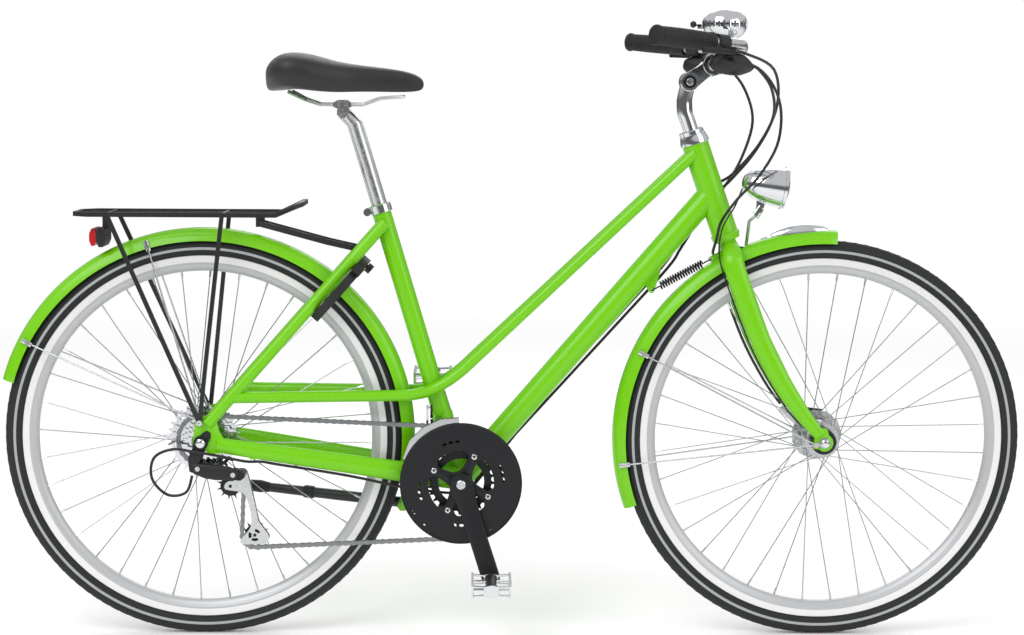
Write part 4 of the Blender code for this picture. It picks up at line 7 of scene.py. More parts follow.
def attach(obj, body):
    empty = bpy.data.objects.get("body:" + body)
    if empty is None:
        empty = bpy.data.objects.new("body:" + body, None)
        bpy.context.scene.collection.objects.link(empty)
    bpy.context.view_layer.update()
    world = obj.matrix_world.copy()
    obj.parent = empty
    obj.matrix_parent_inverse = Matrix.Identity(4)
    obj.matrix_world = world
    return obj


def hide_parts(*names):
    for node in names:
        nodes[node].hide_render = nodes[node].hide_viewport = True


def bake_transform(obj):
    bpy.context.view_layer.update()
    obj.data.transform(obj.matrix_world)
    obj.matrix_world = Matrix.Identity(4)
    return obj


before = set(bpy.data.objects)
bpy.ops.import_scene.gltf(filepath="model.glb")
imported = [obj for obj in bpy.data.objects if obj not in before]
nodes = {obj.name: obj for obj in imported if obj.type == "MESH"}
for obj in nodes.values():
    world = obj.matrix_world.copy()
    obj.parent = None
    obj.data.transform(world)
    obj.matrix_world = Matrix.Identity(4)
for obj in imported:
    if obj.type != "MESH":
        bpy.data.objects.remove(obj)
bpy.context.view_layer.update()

across = Vector((0, 1, 0))
upward = Vector((0, 0, 1))
forward = Vector((1, 0, 0))

# Centre lines that the pieces below share, as the frame has them
layout = {
    "rearAxle": Vector((-0.538, 0, 0.348)),
    "frontAxle": Vector((0.538, 0, 0.348)),
    "bottomBracket": Vector((-0.09177, 0, 0.276)),
    "steerFoot": Vector((0.4945, 0, 0.3329)),
    "steerAxis": Vector((-0.32722, 0, 0.94495)),
}


def onWheel(centre, radius, angle, y=0.0):
    return centre + Vector((radius * math.cos(angle), y, radius * math.sin(angle)))


def linearColour(code):
    # sRGB hex to the linear values that the shader wants
    channels = [int(code[k:k + 2], 16) / 255 for k in (1, 3, 5)]
    return [c / 12.92 if c <= 0.04045 else ((c + 0.055) / 1.055) ** 2.4 for c in channels] + [1.0]


def addNode(tree, kind, settings=None, **links):
    # A node with its settings, and each named input taken from a node, a socket or a value
    node = tree.nodes.new(kind)
    for key, value in (settings or {}).items():
        setattr(node, key, value)
    for key, value in links.items():
        numbered = key[0] == "i" and key[1:].isdigit()
        socket = node.inputs[int(key[1:]) if numbered else key.replace("_", " ")]
        if isinstance(value, bpy.types.Node):
            value = value.outputs[0]
        if isinstance(value, bpy.types.NodeSocket):
            tree.links.new(value, socket)
        else:
            socket.default_value = value
    return node


def newMaterial(name, code, roughness, metallic, extra):
    material = bpy.data.materials.new(name)
    material.use_nodes = True
    tree = material.node_tree
    shader = tree.nodes["Principled BSDF"]
    shader.inputs["Base Color"].default_value = linearColour(code)
    shader.inputs["Roughness"].default_value = roughness
    shader.inputs["Metallic"].default_value = metallic
    for key, value in extra.items():
        shader.inputs[key].default_value = value
    return material, tree, shader


def grainy(tree, shader, size, depth, tones, spread):
    # A noise pattern of a real size in metres, used for bump, colour and roughness
    where = addNode(tree, "ShaderNodeTexCoord").outputs["Object"]
    noise = addNode(tree, "ShaderNodeTexNoise", None, Vector=where, Scale=1 / size, Detail=3.0)
    bump = addNode(tree, "ShaderNodeBump", None, Height=noise, Distance=depth, Strength=1.0)
    tree.links.new(bump.outputs[0], shader.inputs["Normal"])
    if tones:
        dark, light = (linearColour(tone) for tone in tones)
        ramp = addNode(tree, "ShaderNodeMix", {"data_type": "RGBA"}, i0=noise, i6=dark, i7=light)
        tree.links.new(ramp.outputs[2], shader.inputs["Base Color"])
    if spread:
        low, high = spread
        rough = addNode(tree, "ShaderNodeMapRange", None, Value=noise, i1=0.3, i2=0.7, i3=low, i4=high)
        tree.links.new(rough.outputs[0], shader.inputs["Roughness"])
    return where, bump


# Each finish: name, colour, roughness, metallic, size and depth of its grain in metres, its two tones,
# the range of its roughness, and further values of the shader
finishes = {
    # Wet-look lime enamel over primer, with the faint ripple of a sprayed coat
    "limeEnamel": (
        "sprayed_lime_enamel", "#72C600", 0.36, 0.0, 0.004, 0.00002, ("#70C300", "#76CB00"), (0.26, 0.34),
        {"Coat Weight": 0.30, "Coat Roughness": 0.05, "Specular IOR Level": 0.3},
    ),
    # Satin black powder coat on steel, finely pebbled
    "blackPowder": (
        "black_powder_coat", "#17181A", 0.38, 0.0, 0.0011, 0.00004, ("#141517", "#1C1D20"), (0.32, 0.46),
        {"Coat Weight": 0.3, "Coat Roughness": 0.25},
    ),
    # Bright chrome plate: near-mirror with a slight haze where hands go
    "chromePlate": ("bright_chrome_plate", "#DCDEE1", 0.08, 1.0, 0.030, 0.00001, ("#D5D8DC", "#E4E5E7"), (0.05, 0.16)),
    # Polished aluminium: silver, softer than chrome
    "polishedAlloy": ("polished_aluminium", "#D2D3D4", 0.22, 1.0, 0.006, 0.00002, ("#C4C6C8", "#DBDCDD"), (0.17, 0.32)),
    # Rolled and bead-blasted rim alloy, almost white under soft light
    "rimAlloy": ("satin_rim_aluminium", "#BFC0C2", 0.40, 0.45, 0.0012, 0.00002, ("#B7B8BB", "#C7C8CA"), (0.36, 0.50)),
    # Brake track turned bright on the rim's sides
    "brakeTrack": ("turned_brake_track", "#EDEDEC", 0.34, 0.25, 0.0008, 0.00002, ("#E6E6E5", "#F2F2F1"), (0.28, 0.42)),
    # Zinc-plated and tumbled steel of chain, sprockets and spokes
    "platedSteel": ("zinc_plated_steel", "#8F9194", 0.32, 1.0, 0.003, 0.00003, ("#7E8083", "#9FA1A4"), (0.24, 0.42)),
    # Drawn stainless wire
    "spokeWire": ("drawn_stainless_wire", "#9EA0A3", 0.28, 0.9, 0.010, 0.00001, ("#919396", "#ABADB0"), (0.2, 0.34)),
    # Machined black chainring and crank, anodised
    "blackAnodised": (
        "black_anodised_aluminium", "#1B1C1E", 0.36, 0.4, 0.002, 0.00002, ("#17181A", "#232427"), (0.30, 0.44),
    ),
    # Glass-filled nylon with a spark-eroded grain
    "blackNylon": ("moulded_black_nylon", "#161617", 0.52, 0.0, 0.0009, 0.00006, ("#131314", "#1D1D1F"), (0.46, 0.60)),
    # Smooth PVC jacket of a cable housing
    "cableJacket": ("extruded_black_jacket", "#131315", 0.33, 0.0, 0.004, 0.00002, ("#111113", "#19191B"), (0.28, 0.38)),
    # Tyre tread and side wall: dull black, slightly grey where it scrubs
    "tyreRubber": ("vulcanised_tyre_rubber", "#1B1C1D", 0.74, 0.0, 0.0022, 0.00015, ("#161718", "#232425"), (0.66, 0.82)),
    # Glass-bead reflective tape moulded into the side wall
    "reflexTape": ("glass_bead_reflex_band", "#A9ACAE", 0.45, 0.3, 0.0012, 0.00003, ("#9DA0A3", "#B7BABC"), (0.4, 0.55)),
    # Oil-blackened spring wire
    "springSteel": (
        "oil_blackened_spring_wire", "#2A2B2D", 0.35, 0.8, 0.004, 0.00002, ("#232426", "#38393B"), (0.28, 0.45),
    ),
    # Soft grip rubber, finely pebbled
    "gripRubber": ("moulded_grip_rubber", "#171718", 0.62, 0.0, 0.0013, 0.00012, ("#131314", "#1E1E1F"), (0.55, 0.70)),
    # Saddle cover: grained vinyl with a leather print
    "saddleVinyl": (
        "grained_saddle_vinyl", "#18181A", 0.50, 0.0, 0.018, 0.0001, ("#151517", "#1F1F22"), (0.44, 0.56),
        {"Sheen Weight": 0.15},
    ),
    # Clear lamp glass and the red reflector lens
    "lampGlass": (
        "clear_polycarbonate", "#F4F7F8", 0.05, 0.0, 0.02, 0.00001, None, None,
        {"Transmission Weight": 0.85, "IOR": 1.45},
    ),
    "redLens": (
        "red_prismatic_lens", "#C4161A", 0.16, 0.0, 0.0030, 0.0003, ("#A50F13", "#D8262A"), None, {"Coat Weight": 0.6},
    ),
}
finish = {}


def makeFinishes():
    for key, (name, code, roughness, metallic, size, depth, tones, spread, *extra) in finishes.items():
        finish[key], tree, shader = newMaterial(name, code, roughness, metallic, dict(*extra))
        where, bump = grainy(tree, shader, size, depth, tones, spread)
        if key == "saddleVinyl":
            # The leather print over the grain, in cells of 1.6 mm
            edgeField = {"feature": "DISTANCE_TO_EDGE"}
            cells = addNode(tree, "ShaderNodeTexVoronoi", edgeField, Vector=where, Scale=1 / 0.0016)
            fine = addNode(tree, "ShaderNodeBump", None, Height=cells, Distance=0.00012, Normal=bump)
            tree.links.new(fine.outputs[0], shader.inputs["Normal"])
    print("finishes made")


def mm(rows):
    # Lengths written in millimetres as the metres of the scene
    return [tuple(v / 1000 for v in row) for row in rows]


def around(steps):
    return [2 * math.pi * k / steps for k in range(steps)]


def softPower(value, power):
    # A power that keeps the sign, for squarish rounds
    return math.copysign(abs(value) ** power, value)


def addObject(name, data):
    thing = bpy.data.objects.new(name, data)
    bpy.context.scene.collection.objects.link(thing)
    return thing


def baked(thing):
    # The mesh that a thing's curve or modifiers give, after which the thing goes
    bpy.context.view_layer.update()
    mesh = bpy.data.meshes.new_from_object(thing.evaluated_get(bpy.context.evaluated_depsgraph_get()))
    bpy.data.objects.remove(thing)
    return mesh


def newObject(name, bm, material, smooth=40):
    # Turns a bmesh into a piece with its place in its mesh
    bmesh.ops.recalc_face_normals(bm, faces=bm.faces)
    mesh = bpy.data.meshes.new(name)
    bm.to_mesh(mesh)
    bm.free()
    mesh.materials.append(finish[material])
    if smooth:
        mesh.shade_smooth()
        mesh.set_sharp_from_angle(angle=math.radians(smooth))
    return addObject(name, mesh)


def spline(points, per=8, closed=False):
    # Smooth path through the points, with per steps a span
    count = len(points)
    out = []
    for k in range(count if closed else count - 1):
        p = [points[(k + d) % count if closed else min(max(k + d, 0), count - 1)] for d in (-1, 0, 1, 2)]
        for s in range(per):
            t = s / per
            a = -0.5 * t + t * t - 0.5 * t ** 3
            b = 1 - 2.5 * t * t + 1.5 * t ** 3
            c = 0.5 * t + 2 * t * t - 1.5 * t ** 3
            d = -0.5 * t * t + 0.5 * t ** 3
            out.append(p[0] * a + p[1] * b + p[2] * c + p[3] * d)
    return out if closed else out + [points[-1].copy()]


def ringsToMesh(bm, rings):
    rows = [[bm.verts.new(p) for p in ring] for ring in rings]
    for low, high in zip(rows, rows[1:]):
        for c in range(len(low)):
            d = (c + 1) % len(low)
            bm.faces.new((low[c], low[d], high[d], high[c]))
    bm.faces.new(rows[0][::-1])
    bm.faces.new(rows[-1])


def tubeRings(points, radii, sides=14, start=None):
    # Round or oval sections carried along a path without twist
    if not isinstance(radii, (list, tuple)):
        radii = [radii] * len(points)
    ends = zip([points[0]] + points[:-1], points[1:] + [points[-1]])
    axis = [(after - before).normalized() for before, after in ends]
    side = (start or across)
    side = (side - axis[0] * side.dot(axis[0])).normalized()
    rings = []
    for place, direction, radius in zip(points, axis, radii):
        side = (side - direction * side.dot(direction)).normalized()
        other = direction.cross(side)
        a, b = radius if isinstance(radius, tuple) else (radius, radius)
        rings.append([place + side * (a * math.cos(t)) + other * (b * math.sin(t)) for t in around(sides)])
    return rings


def rod(bm, points, radii, sides=14, start=None):
    ringsToMesh(bm, tubeRings(points, radii, sides, start))


def pin(bm, spot, low, high, radius, sides):
    # A rod across the bike, from low to high beside a spot
    rod(bm, [spot + across * low, spot + across * high], radius, sides, forward)


def tube(name, points, radii, material, sides=14):
    bm = bmesh.new()
    rod(bm, points, radii, sides)
    return newObject(name, bm, material)


def turned(name, profile, origin, axis, material, steps=72, smooth=35):
    # A profile of (radius, along) spun round an axis; a point at radius 0 closes the end
    axis = axis.normalized()
    side = across if abs(axis.dot(across)) < 0.9 else forward
    side = (side - axis * side.dot(axis)).normalized()
    other = axis.cross(side)
    closed = profile[0] != profile[-1] and min(r for r, along in profile) > 0
    bm = bmesh.new()
    rows = []
    for radius, along in profile:
        foot = origin + axis * along
        ring = [foot + (side * math.cos(a) + other * math.sin(a)) * radius for a in around(steps)]
        rows.append([bm.verts.new(p) for p in (ring if radius > 0 else [foot])])
    for low, high in zip(rows, rows[1:] + rows[:1] if closed else rows[1:]):
        for c in range(steps):
            d = (c + 1) % steps
            face = [low[c % len(low)], low[d % len(low)], high[d % len(high)], high[c % len(high)]]
            face = [v for i, v in enumerate(face) if v not in face[:i]]
            if len(face) > 2:
                bm.faces.new(face)
    return newObject(name, bm, material, smooth)


def join(name, things):
    # Several finished meshes as one piece, each keeping its own material
    mesh = bpy.data.meshes.new(name)
    bm = bmesh.new()
    for thing in things:
        base = len(mesh.materials)
        for material in thing.data.materials:
            mesh.materials.append(material)
        known = len(bm.faces)
        bm.from_mesh(thing.data)
        bm.faces.ensure_lookup_table()
        for face in bm.faces[known:]:
            face.material_index += base
    bm.to_mesh(mesh)
    bm.free()
    out = addObject(name, mesh)
    for thing in things:
        bpy.data.objects.remove(thing)
    return out


def openTree(name, **inputs):
    # A Geometry Nodes tree that takes a geometry and the named inputs, and gives a geometry
    tree = bpy.data.node_groups.new(name, "GeometryNodeTree")
    for key, kind in (("Geometry", "Geometry"), *inputs.items()):
        tree.interface.new_socket(key, in_out="INPUT", socket_type="NodeSocket" + kind)
    tree.interface.new_socket("Geometry", in_out="OUTPUT", socket_type="NodeSocketGeometry")
    return tree, addNode(tree, "NodeGroupInput").outputs


def closeTree(tree, node):
    tree.links.new(node.outputs[0], addNode(tree, "NodeGroupOutput").inputs[0])


def useTree(thing, tree, **values):
    modifier = thing.modifiers.new("nodes", "NODES")
    modifier.node_group = tree
    for socket in tree.interface.items_tree:
        if socket.name in values:
            modifier[socket.identifier] = values[socket.name]


def roundArray(name, sample, count, centre, axisTurn, material):
    # Geometry Nodes: copies of one sample turned evenly about an axis through centre
    tree, given = openTree(name + "_round", Count="Int", Centre="Vector", Turn="Vector")
    scaled = {"operation": "SCALE"}
    back = addNode(tree, "ShaderNodeVectorMath", scaled, i0=given["Centre"], Scale=-1.0)
    moved = addNode(tree, "GeometryNodeTransform", None, Geometry=given["Geometry"], Translation=back)
    points = addNode(tree, "GeometryNodePoints", None, Count=given["Count"])
    index = addNode(tree, "GeometryNodeInputIndex")
    turn = addNode(tree, "ShaderNodeVectorMath", scaled, i0=given["Turn"], Scale=index.outputs[0])
    copies = {"Points": points, "Instance": moved, "Rotation": turn}
    placed = addNode(tree, "GeometryNodeInstanceOnPoints", None, **copies)
    real = addNode(tree, "GeometryNodeRealizeInstances", None, Geometry=placed)
    home = addNode(tree, "GeometryNodeTransform", None, Geometry=real, Translation=given["Centre"])
    closeTree(tree, addNode(tree, "GeometryNodeSetMaterial", None, Geometry=home, Material=finish[material]))
    useTree(sample, tree, Count=count, Centre=tuple(centre), Turn=tuple(axisTurn))
    return addObject(name, baked(sample))


def place(thing, body, *replaced):
    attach(thing, body)
    if replaced:
        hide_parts(*replaced)
    return thing


makeFinishes()

# Wheels
wheel = {
    "rimInner": 0.290, "rimOuter": 0.3178, "tyreRadius": 0.3480, "tyreHalf": 0.0185, "seat": 0.0030,
    "reflexInner": 0.3275, "reflexOuter": 0.3320, "steps": 180, "treads": 112, "spokes": 36, "spokeRadius": 0.0009,
    "nippleRadius": 0.0018, "crossing": 60, "phase": {"rear": 7.95, "front": 5},
    # Half of the rim's section and its brake track: radius past the inner or outer edge, and distance from the middle
    "rimWell": mm([(0, 0), (0.6, 4.5), (4.5, 9.2), (10, 11.4), (11.2, 11.8), (11.8, 12.2)]),
    "rimEdge": mm([(-2.2, 12.2), (-0.6, 11.8), (0, 10.8), (-2, 10), (-8, 9.2), (-8.5, 0)]),
    "track": mm([(-12.5, 12.1), (-12, 12.5), (-1.2, 12.5), (-0.8, 11.6)]),
    # The two sipes: distances from the tyre's middle at either end, and the length along the tread
    "sipes": mm([(3, 9, 10), (10.5, 15, 12)]), "sipeWidth": 0.0024,
}


def makeTyre(side, centre):
    w = wheel
    middle = (w["rimOuter"] - w["seat"] + w["tyreRadius"]) / 2
    tall = (w["tyreRadius"] - w["rimOuter"] + w["seat"]) / 2
    half = w["tyreHalf"] - 0.0002
    profile = [(middle + tall * math.sin(a), half * softPower(math.cos(a), 0.86)) for a in around(28)]
    things = [turned(side + "_tyre_case", profile, centre, across, "tyreRubber", w["steps"], 60)]
    # Sipes pressed into the tread, one slanted pair repeated round the tyre
    bm = bmesh.new()
    for sign in (-1, 1):
        for near, far, length in w["sipes"]:
            wide = w["sipeWidth"]
            corners = []
            for along, y in ((0.0, near), (length, far), (length + wide, far), (wide, near)):
                radius = middle + tall * math.sqrt(1 - (y / w["tyreHalf"]) ** 2.3)
                corners.append((radius, along / w["tyreRadius"], sign * y))
            top, low = (
                [bm.verts.new(onWheel(centre, r + lift, a, y)) for r, a, y in corners]
                for lift in (0.0005, -0.0012)
            )
            bm.faces.new(top)
            bm.faces.new(low[::-1])
            for c in range(4):
                bm.faces.new((top[c], low[c], low[(c + 1) % 4], top[(c + 1) % 4]))
    tread = newObject(side + "_block", bm, "tyreRubber", 0)
    turn = (0, 2 * math.pi / w["treads"], 0)
    things.append(roundArray(side + "_tread", tread, w["treads"], centre, turn, "tyreRubber"))
    for sign in (-1, 1):
        band = []
        for radius in (w["reflexInner"], w["reflexOuter"]):
            y = sign * half * math.sqrt(1 - ((radius - middle) / tall) ** 2) ** 0.86
            band.append((radius, y + sign * 0.0004))
        low = [(r, y - sign * 0.0012) for r, y in band[::-1]]
        things.append(turned(side + "_band", band + low, centre, across, "reflexTape", w["steps"], 30))
    return join(side + "_tyre", things)


def makeRim(side, centre):
    w = wheel
    section = [(w["rimInner"] + r, y) for r, y in w["rimWell"]] + [(w["rimOuter"] + r, y) for r, y in w["rimEdge"]]
    section += [(r, -y) for r, y in section[-2:0:-1]]
    things = [turned(side + "_rim_hoop", section, centre, across, "rimAlloy", w["steps"], 30)]
    for sign in (-1, 1):
        track = [(w["rimOuter"] + r, sign * y) for r, y in w["track"]]
        things.append(turned(side + "_track", track, centre, across, "brakeTrack", w["steps"], 30))
    return join(side + "_rim", things)


def makeHub(side, centre, flanges, flangeRadius, barrel):
    w = wheel
    # Spokes: one group of four, laced three cross, turned nine times, with plated nipples
    wires, nipples = bmesh.new(), bmesh.new()
    for k in range(4):
        flange = flanges[k % 2]
        lead = 1 if k < 2 else -1
        angle = math.radians(w["phase"][side]) + k * 2 * math.pi / w["spokes"]
        crossed = angle + lead * math.radians(w["crossing"])
        inner = onWheel(centre, flangeRadius - 0.0030, crossed, flange + lead * 0.0017)
        outer = onWheel(centre, w["rimInner"] + 0.0004, angle, math.copysign(0.0012, flange))
        toward = (outer - inner).normalized()
        rod(wires, [inner, outer], w["spokeRadius"], 8)
        rod(
            wires, [inner - toward * 0.0005 - across * (0.0014 * lead), inner - across * (0.0022 * lead)], 0.0017, 8,
            forward,
        )
        rod(nipples, [outer - toward * 0.0115, outer + toward * 0.0010], w["nippleRadius"], 8)
    f, edge = 0.0022, flangeRadius - 0.001
    right, left = flanges
    half = [(0.0065, -f), (edge, -f), (flangeRadius, -f * 0.6), (flangeRadius, f * 0.6), (edge, f)]
    half += [(barrel + 0.0035, 0.0045), (barrel + 0.0008, 0.0075), (barrel, 0.0110)]
    shell = [(r, right + y) for r, y in half] + [(r, left - y) for r, y in half[::-1]]
    things = [turned(side + "_shell", shell, centre, across, "polishedAlloy", 72, 30)]
    for name, bm, material in (("_wires", wires, "spokeWire"), ("_nipples", nipples, "polishedAlloy")):
        groups = w["spokes"] // 4
        sample = newObject("sample", bm, material)
        things.append(roundArray(side + name, sample, groups, centre, (0, 2 * math.pi / groups, 0), material))
    return join(side + "_hub", things)


def makeWheel(side, centre, flanges, flangeRadius, barrel):
    body = side + "_wheel"
    place(makeTyre(side, centre), body, side + "_wheel_tyre")
    place(makeRim(side, centre), body, side + "_wheel_rim")
    place(makeHub(side, centre, flanges, flangeRadius, barrel), body, side + "_wheel_hub")


makeWheel("rear", layout["rearAxle"], (-0.0215, 0.0345), 0.0225, 0.0150)
makeWheel("front", layout["frontAxle"], (-0.0290, 0.0215), 0.0300, 0.0250)
print("wheels made")

# Frame and fork: drawn tubes over the solid's cores, round and mitred as welded
frameTubes = {
    "skin": 0.0003, "head": 0.0225, "down": 0.0205, "seat": 0.0160, "twin": 0.0096, "seatStay": 0.0106, "shell": 0.0206,
    "headLow": (0.3656, 0, 0.7053), "headHigh": (0.3103, 0, 0.8650), "downTop": (0.3404, 0, 0.7780),
    "seatTop": (-0.2355, 0, 0.7549),
    "twinPath": mm([
        (310, 14.5, 847.4), (-67.5, 22.3, 490), (-90, 22.7, 468.8), (-110.9, 23.5, 452.7), (-131.7, 23.5, 440),
        (-154.3, 25.5, 430.1), (-183.8, 36, 425.8), (-484, 65.2, 425),
    ]),
    "seatStayPath": mm([(-226, 17, 723.3), (-268.2, 36, 675.2), (-316.4, 42, 620.3), (-527.5, 70.5, 380)]),
    "chainStayPath": mm([
        (-103.6, 22, 277.9), (-151, 29.5, 285.6), (-182.6, 34.5, 290.7), (-269.5, 45, 304.7), (-417.6, 62, 328.6),
        (-511.3, 70.5, 343.7),
    ]),
    "chainStaySizes": mm([(8, 19), (7.5, 18.5), (7.8, 18), (8.5, 16.5), (8.5, 14.5), (6.5, 12.5)]),
    "bladePath": mm([
        (372.8, 18, 684.6), (375.1, 37, 671.7), (380.4, 45.5, 642.7), (423.5, 50, 527.4), (464.2, 53.5, 449.5),
        (499, 54.5, 398), (530.1, 54, 360.1),
    ]),
    "bladeSizes": mm([(11, 14.5), (10.5, 17), (10.5, 18), (9.8, 17.2), (8.5, 15.8), (6.5, 13.2), (4.2, 9.5)]),
    # Shell's half width and bore, and the profiles of cups, collar and locknut
    "shellHalf": 0.0342, "shellBore": 0.0175,
    "lowerCup": mm([(0, -3.4), (23.6, -3.4), (25, -2.2), (25, 3), (23.2, 7.2), (22.8, 10.2), (0, 10.2)]),
    "upperCup": mm([(0, -3.4), (23.6, -3.4), (25, -2.2), (25, 3.5), (23.2, 9), (22.8, 12.8), (0, 12.8)]),
    "collar": mm([(0, -15.3), (19, -15.3), (19.4, -14.8), (19.4, -1.4), (19, -0.9), (14.1, -0.9), (14.1, -1.2)]),
    "locknut": mm([(15, 0.4), (20.6, 0.4), (21.4, 1.4), (21.4, 8), (20.6, 9), (15, 9.4)]),
}


def sided(points, side):
    return [Vector((x, y * side, z)) for x, y, z in points]


def sleeve(bm, points, radii, sides, per):
    # An oval skin along a rounded path, its sizes read between the given ones
    sizes = [tuple(s) for s in spline([Vector(r) for r in radii], per)]
    rod(bm, spline(points, per), sizes, sides)


def makeFrame():
    t = frameTubes
    k = t["skin"]
    low, high, seatTop, downTop = (Vector(t[key]) for key in ("headLow", "headHigh", "seatTop", "downTop"))
    bracket = layout["bottomBracket"]
    axis = (high - low).normalized()
    seatAxis = (seatTop - bracket).normalized()
    tall = (high - low).length
    r = t["head"] + k
    profile = [
        (0.0, 0.0004), (r - 0.001, 0.0004), (r, 0.0014), (r, tall - 0.0014), (r - 0.001, tall - 0.0004),
        (0.0, tall - 0.0004),
    ]
    head = turned("head_tube", profile, low, axis, "limeEnamel", 64, 35)
    bm = bmesh.new()
    rod(bm, [bracket, downTop], t["down"] + k, 40)
    rod(bm, [bracket, seatTop - seatAxis * 0.0152], t["seat"] + k, 36)
    for side in (-1, 1):
        path = sided(t["twinPath"], side)
        rod(bm, [path[0]] + spline(path[1:-1], 8) + [path[-1]], t["twin"] + k, 24)
        rod(bm, spline(sided(t["seatStayPath"], side), 4), t["seatStay"] + k, 24)
        sleeve(bm, sided(t["chainStayPath"], side), [(a + k, b + k) for a, b in t["chainStaySizes"]], 24, 4)
    tubes = newObject("frame_tubes", bm, "limeEnamel", 50)
    r, half, bore = t["shell"] + k, t["shellHalf"], t["shellBore"]
    profile = [(bore, -half), (r - 0.001, -half), (r, -half + 0.001), (r, half - 0.001), (r - 0.001, half)]
    profile += [(bore, half), (bore, half - 0.002), (bore, -half + 0.002)]
    shell = turned("shell", profile, bracket, across, "limeEnamel", 64, 35)
    place(join("frame_skin", [head, tubes, shell]), "frame_body")
    # Headset cups and seat collar
    lower = turned("lower_cup", t["lowerCup"], low, -axis, "limeEnamel", 64, 35)
    upper = turned("upper_cup", t["upperCup"], high, axis, "chromePlate", 64, 35)
    collar = turned("collar", t["collar"], seatTop, seatAxis, "chromePlate", 56, 35)
    lug = seatTop - seatAxis * 0.0075 - Vector((seatAxis.z, 0, -seatAxis.x)) * 0.0235
    bm = bmesh.new()
    pin(bm, lug, -0.0098, 0.0098, 0.0066, 20)
    pin(bm, lug, -0.0128, -0.0096, 0.0048, 18)
    pin(bm, lug, 0.0096, 0.0128, 0.0048, 6)
    bolt = newObject("collar_bolt", bm, "chromePlate")
    place(join("plated_cups", [lower, upper, collar, bolt]), "frame_body")


def makeFork():
    t = frameTubes
    bm = bmesh.new()
    sizes = [(a + t["skin"], b + t["skin"]) for a, b in t["bladeSizes"]]
    for side in (-1, 1):
        sleeve(bm, sided(t["bladePath"], side), sizes, 28, 8)
    blades = newObject("fork_blades", bm, "limeEnamel", 50)
    axis = layout["steerAxis"].normalized()
    top = Vector(t["headHigh"]) + axis * 0.0125
    locknut = turned("locknut", t["locknut"], top, axis, "chromePlate", 64, 30)
    place(join("fork_skin", [blades, locknut]), "steering")


makeFrame()
makeFork()
print("frame skins made")


# Fenders: rolled steel section with turned-in lips, and their wire stays
fender = {
    "radius": 0.3655, "half": 0.0240, "lip": 0.0225, "wall": 0.0013, "wire": 0.0016,
    "clip": [(0.0030, 0.0045), (0.0022, 0.0045)], "screw": [0.0038, 0.0032],
}


def makeFender(name, centre, start, end):
    # A rolled section swept round the wheel between two angles in degrees, its ends drawn in
    f = fender
    outer = []
    for k in range(17):
        t = -1 + k / 8
        drop = f["lip"] * (1 - math.sqrt(max(0.0, 1 - abs(t) ** 2.6)))
        outer.append((f["radius"] - drop, f["half"] * t))
    inner = [(r - f["wall"], y * (1 - f["wall"] / f["half"])) for r, y in outer[::-1]]
    inner[0] = (outer[-1][0], inner[0][1])
    inner[-1] = (outer[0][0], inner[-1][1])
    steps = round((end - start) * 1.2)
    rings = []
    for k in range(steps + 1):
        angle = math.radians(start + (end - start) * k / steps)
        narrow = 0.80 + 0.20 * min(1.0, min(k, steps - k) / 4 + 0.45)
        rings.append([onWheel(centre, r, angle, y * narrow) for r, y in outer + inner])
    bm = bmesh.new()
    ringsToMesh(bm, rings)
    return newObject(name, bm, "limeEnamel", 50)


def stayWires(name, centre, eyelet, angles):
    wires, clips = bmesh.new(), bmesh.new()
    f = fender
    base = f["radius"] - f["lip"]
    for side in (-1, 1):
        foot = centre + Vector((eyelet[0], side * eyelet[1], eyelet[2]))
        for angle in angles:
            edge = onWheel(centre, base + 0.0030, angle, side * (f["half"] - 0.0004))
            rod(wires, [foot, foot.lerp(edge, 0.5), edge], f["wire"], 10, forward)
            edge = onWheel(centre, base + 0.0010, angle, side * (f["half"] + 0.0006))
            outward = (edge - centre).normalized()
            outward.y = 0
            rod(clips, [edge - outward * 0.0060, edge + outward * 0.0130], f["clip"], 12, across)
            pin(clips, edge + outward * 0.0020, 0, side * 0.0042, 0.0042, 6)
        pin(wires, foot, -0.0024, 0.0024, 0.0048, 20)
        pin(wires, foot, side * 0.0018, side * 0.0044, f["screw"], 20)
    things = [newObject(name, wires, "polishedAlloy"), newObject(name + "_clips", clips, "polishedAlloy")]
    return join(name, things)


ornament = {"start": 89, "end": 107.5, "sink": 0.0045, "half": 0.0125, "rise": 0.0050, "swell": 0.0125, "steps": 32}


def frontOrnament():
    # Chromed cap that sits low along the crest
    o = ornament
    rings = []
    for k in range(o["steps"] + 1):
        t = k / o["steps"]
        angle = math.radians(o["start"] + (o["end"] - o["start"]) * t)
        swell = max(0.13, math.sin(math.pi * min(1.0, t * 1.12 + 0.02)) ** 0.55)
        half, rise = o["half"] * swell, o["rise"] + o["swell"] * swell
        ring = [(half * math.cos(a), rise * max(0.0, math.sin(a)) ** 0.85) for a in around(28)[:15]]
        base = fender["radius"] - o["sink"]
        rings.append([onWheel(layout["frontAxle"], base + z, angle, y) for y, z in ring])
    bm = bmesh.new()
    ringsToMesh(bm, rings)
    return newObject("crest_cap", bm, "chromePlate", 50)


# Drivetrain: toothed rings and sprockets, guard with its spider, cranks and pedals
drive = {
    "pitch": 0.0127, "ringLines": (-0.0550, -0.0475, -0.0400), "ringTeeth": (48, 38, 28), "thick": 0.0019,
    "phase": 1.4139,
    "guardRadius": 0.1055, "guardLine": -0.0614, "boltCircle": 0.0520, "spiderTurn": math.radians(64),
    "crankLength": 0.170, "crankAngle": math.radians(-72),
    # One tooth and its gap: share of the pitch, and metres past the pitch circle
    "tooth": (
        (-0.27, -0.0030), (-0.12, -0.0038), (0.12, -0.0038), (0.27, -0.0030), (0.36, 0.0008), (0.455, 0.0030),
        (0.545, 0.0030), (0.64, 0.0008),
    ),
}


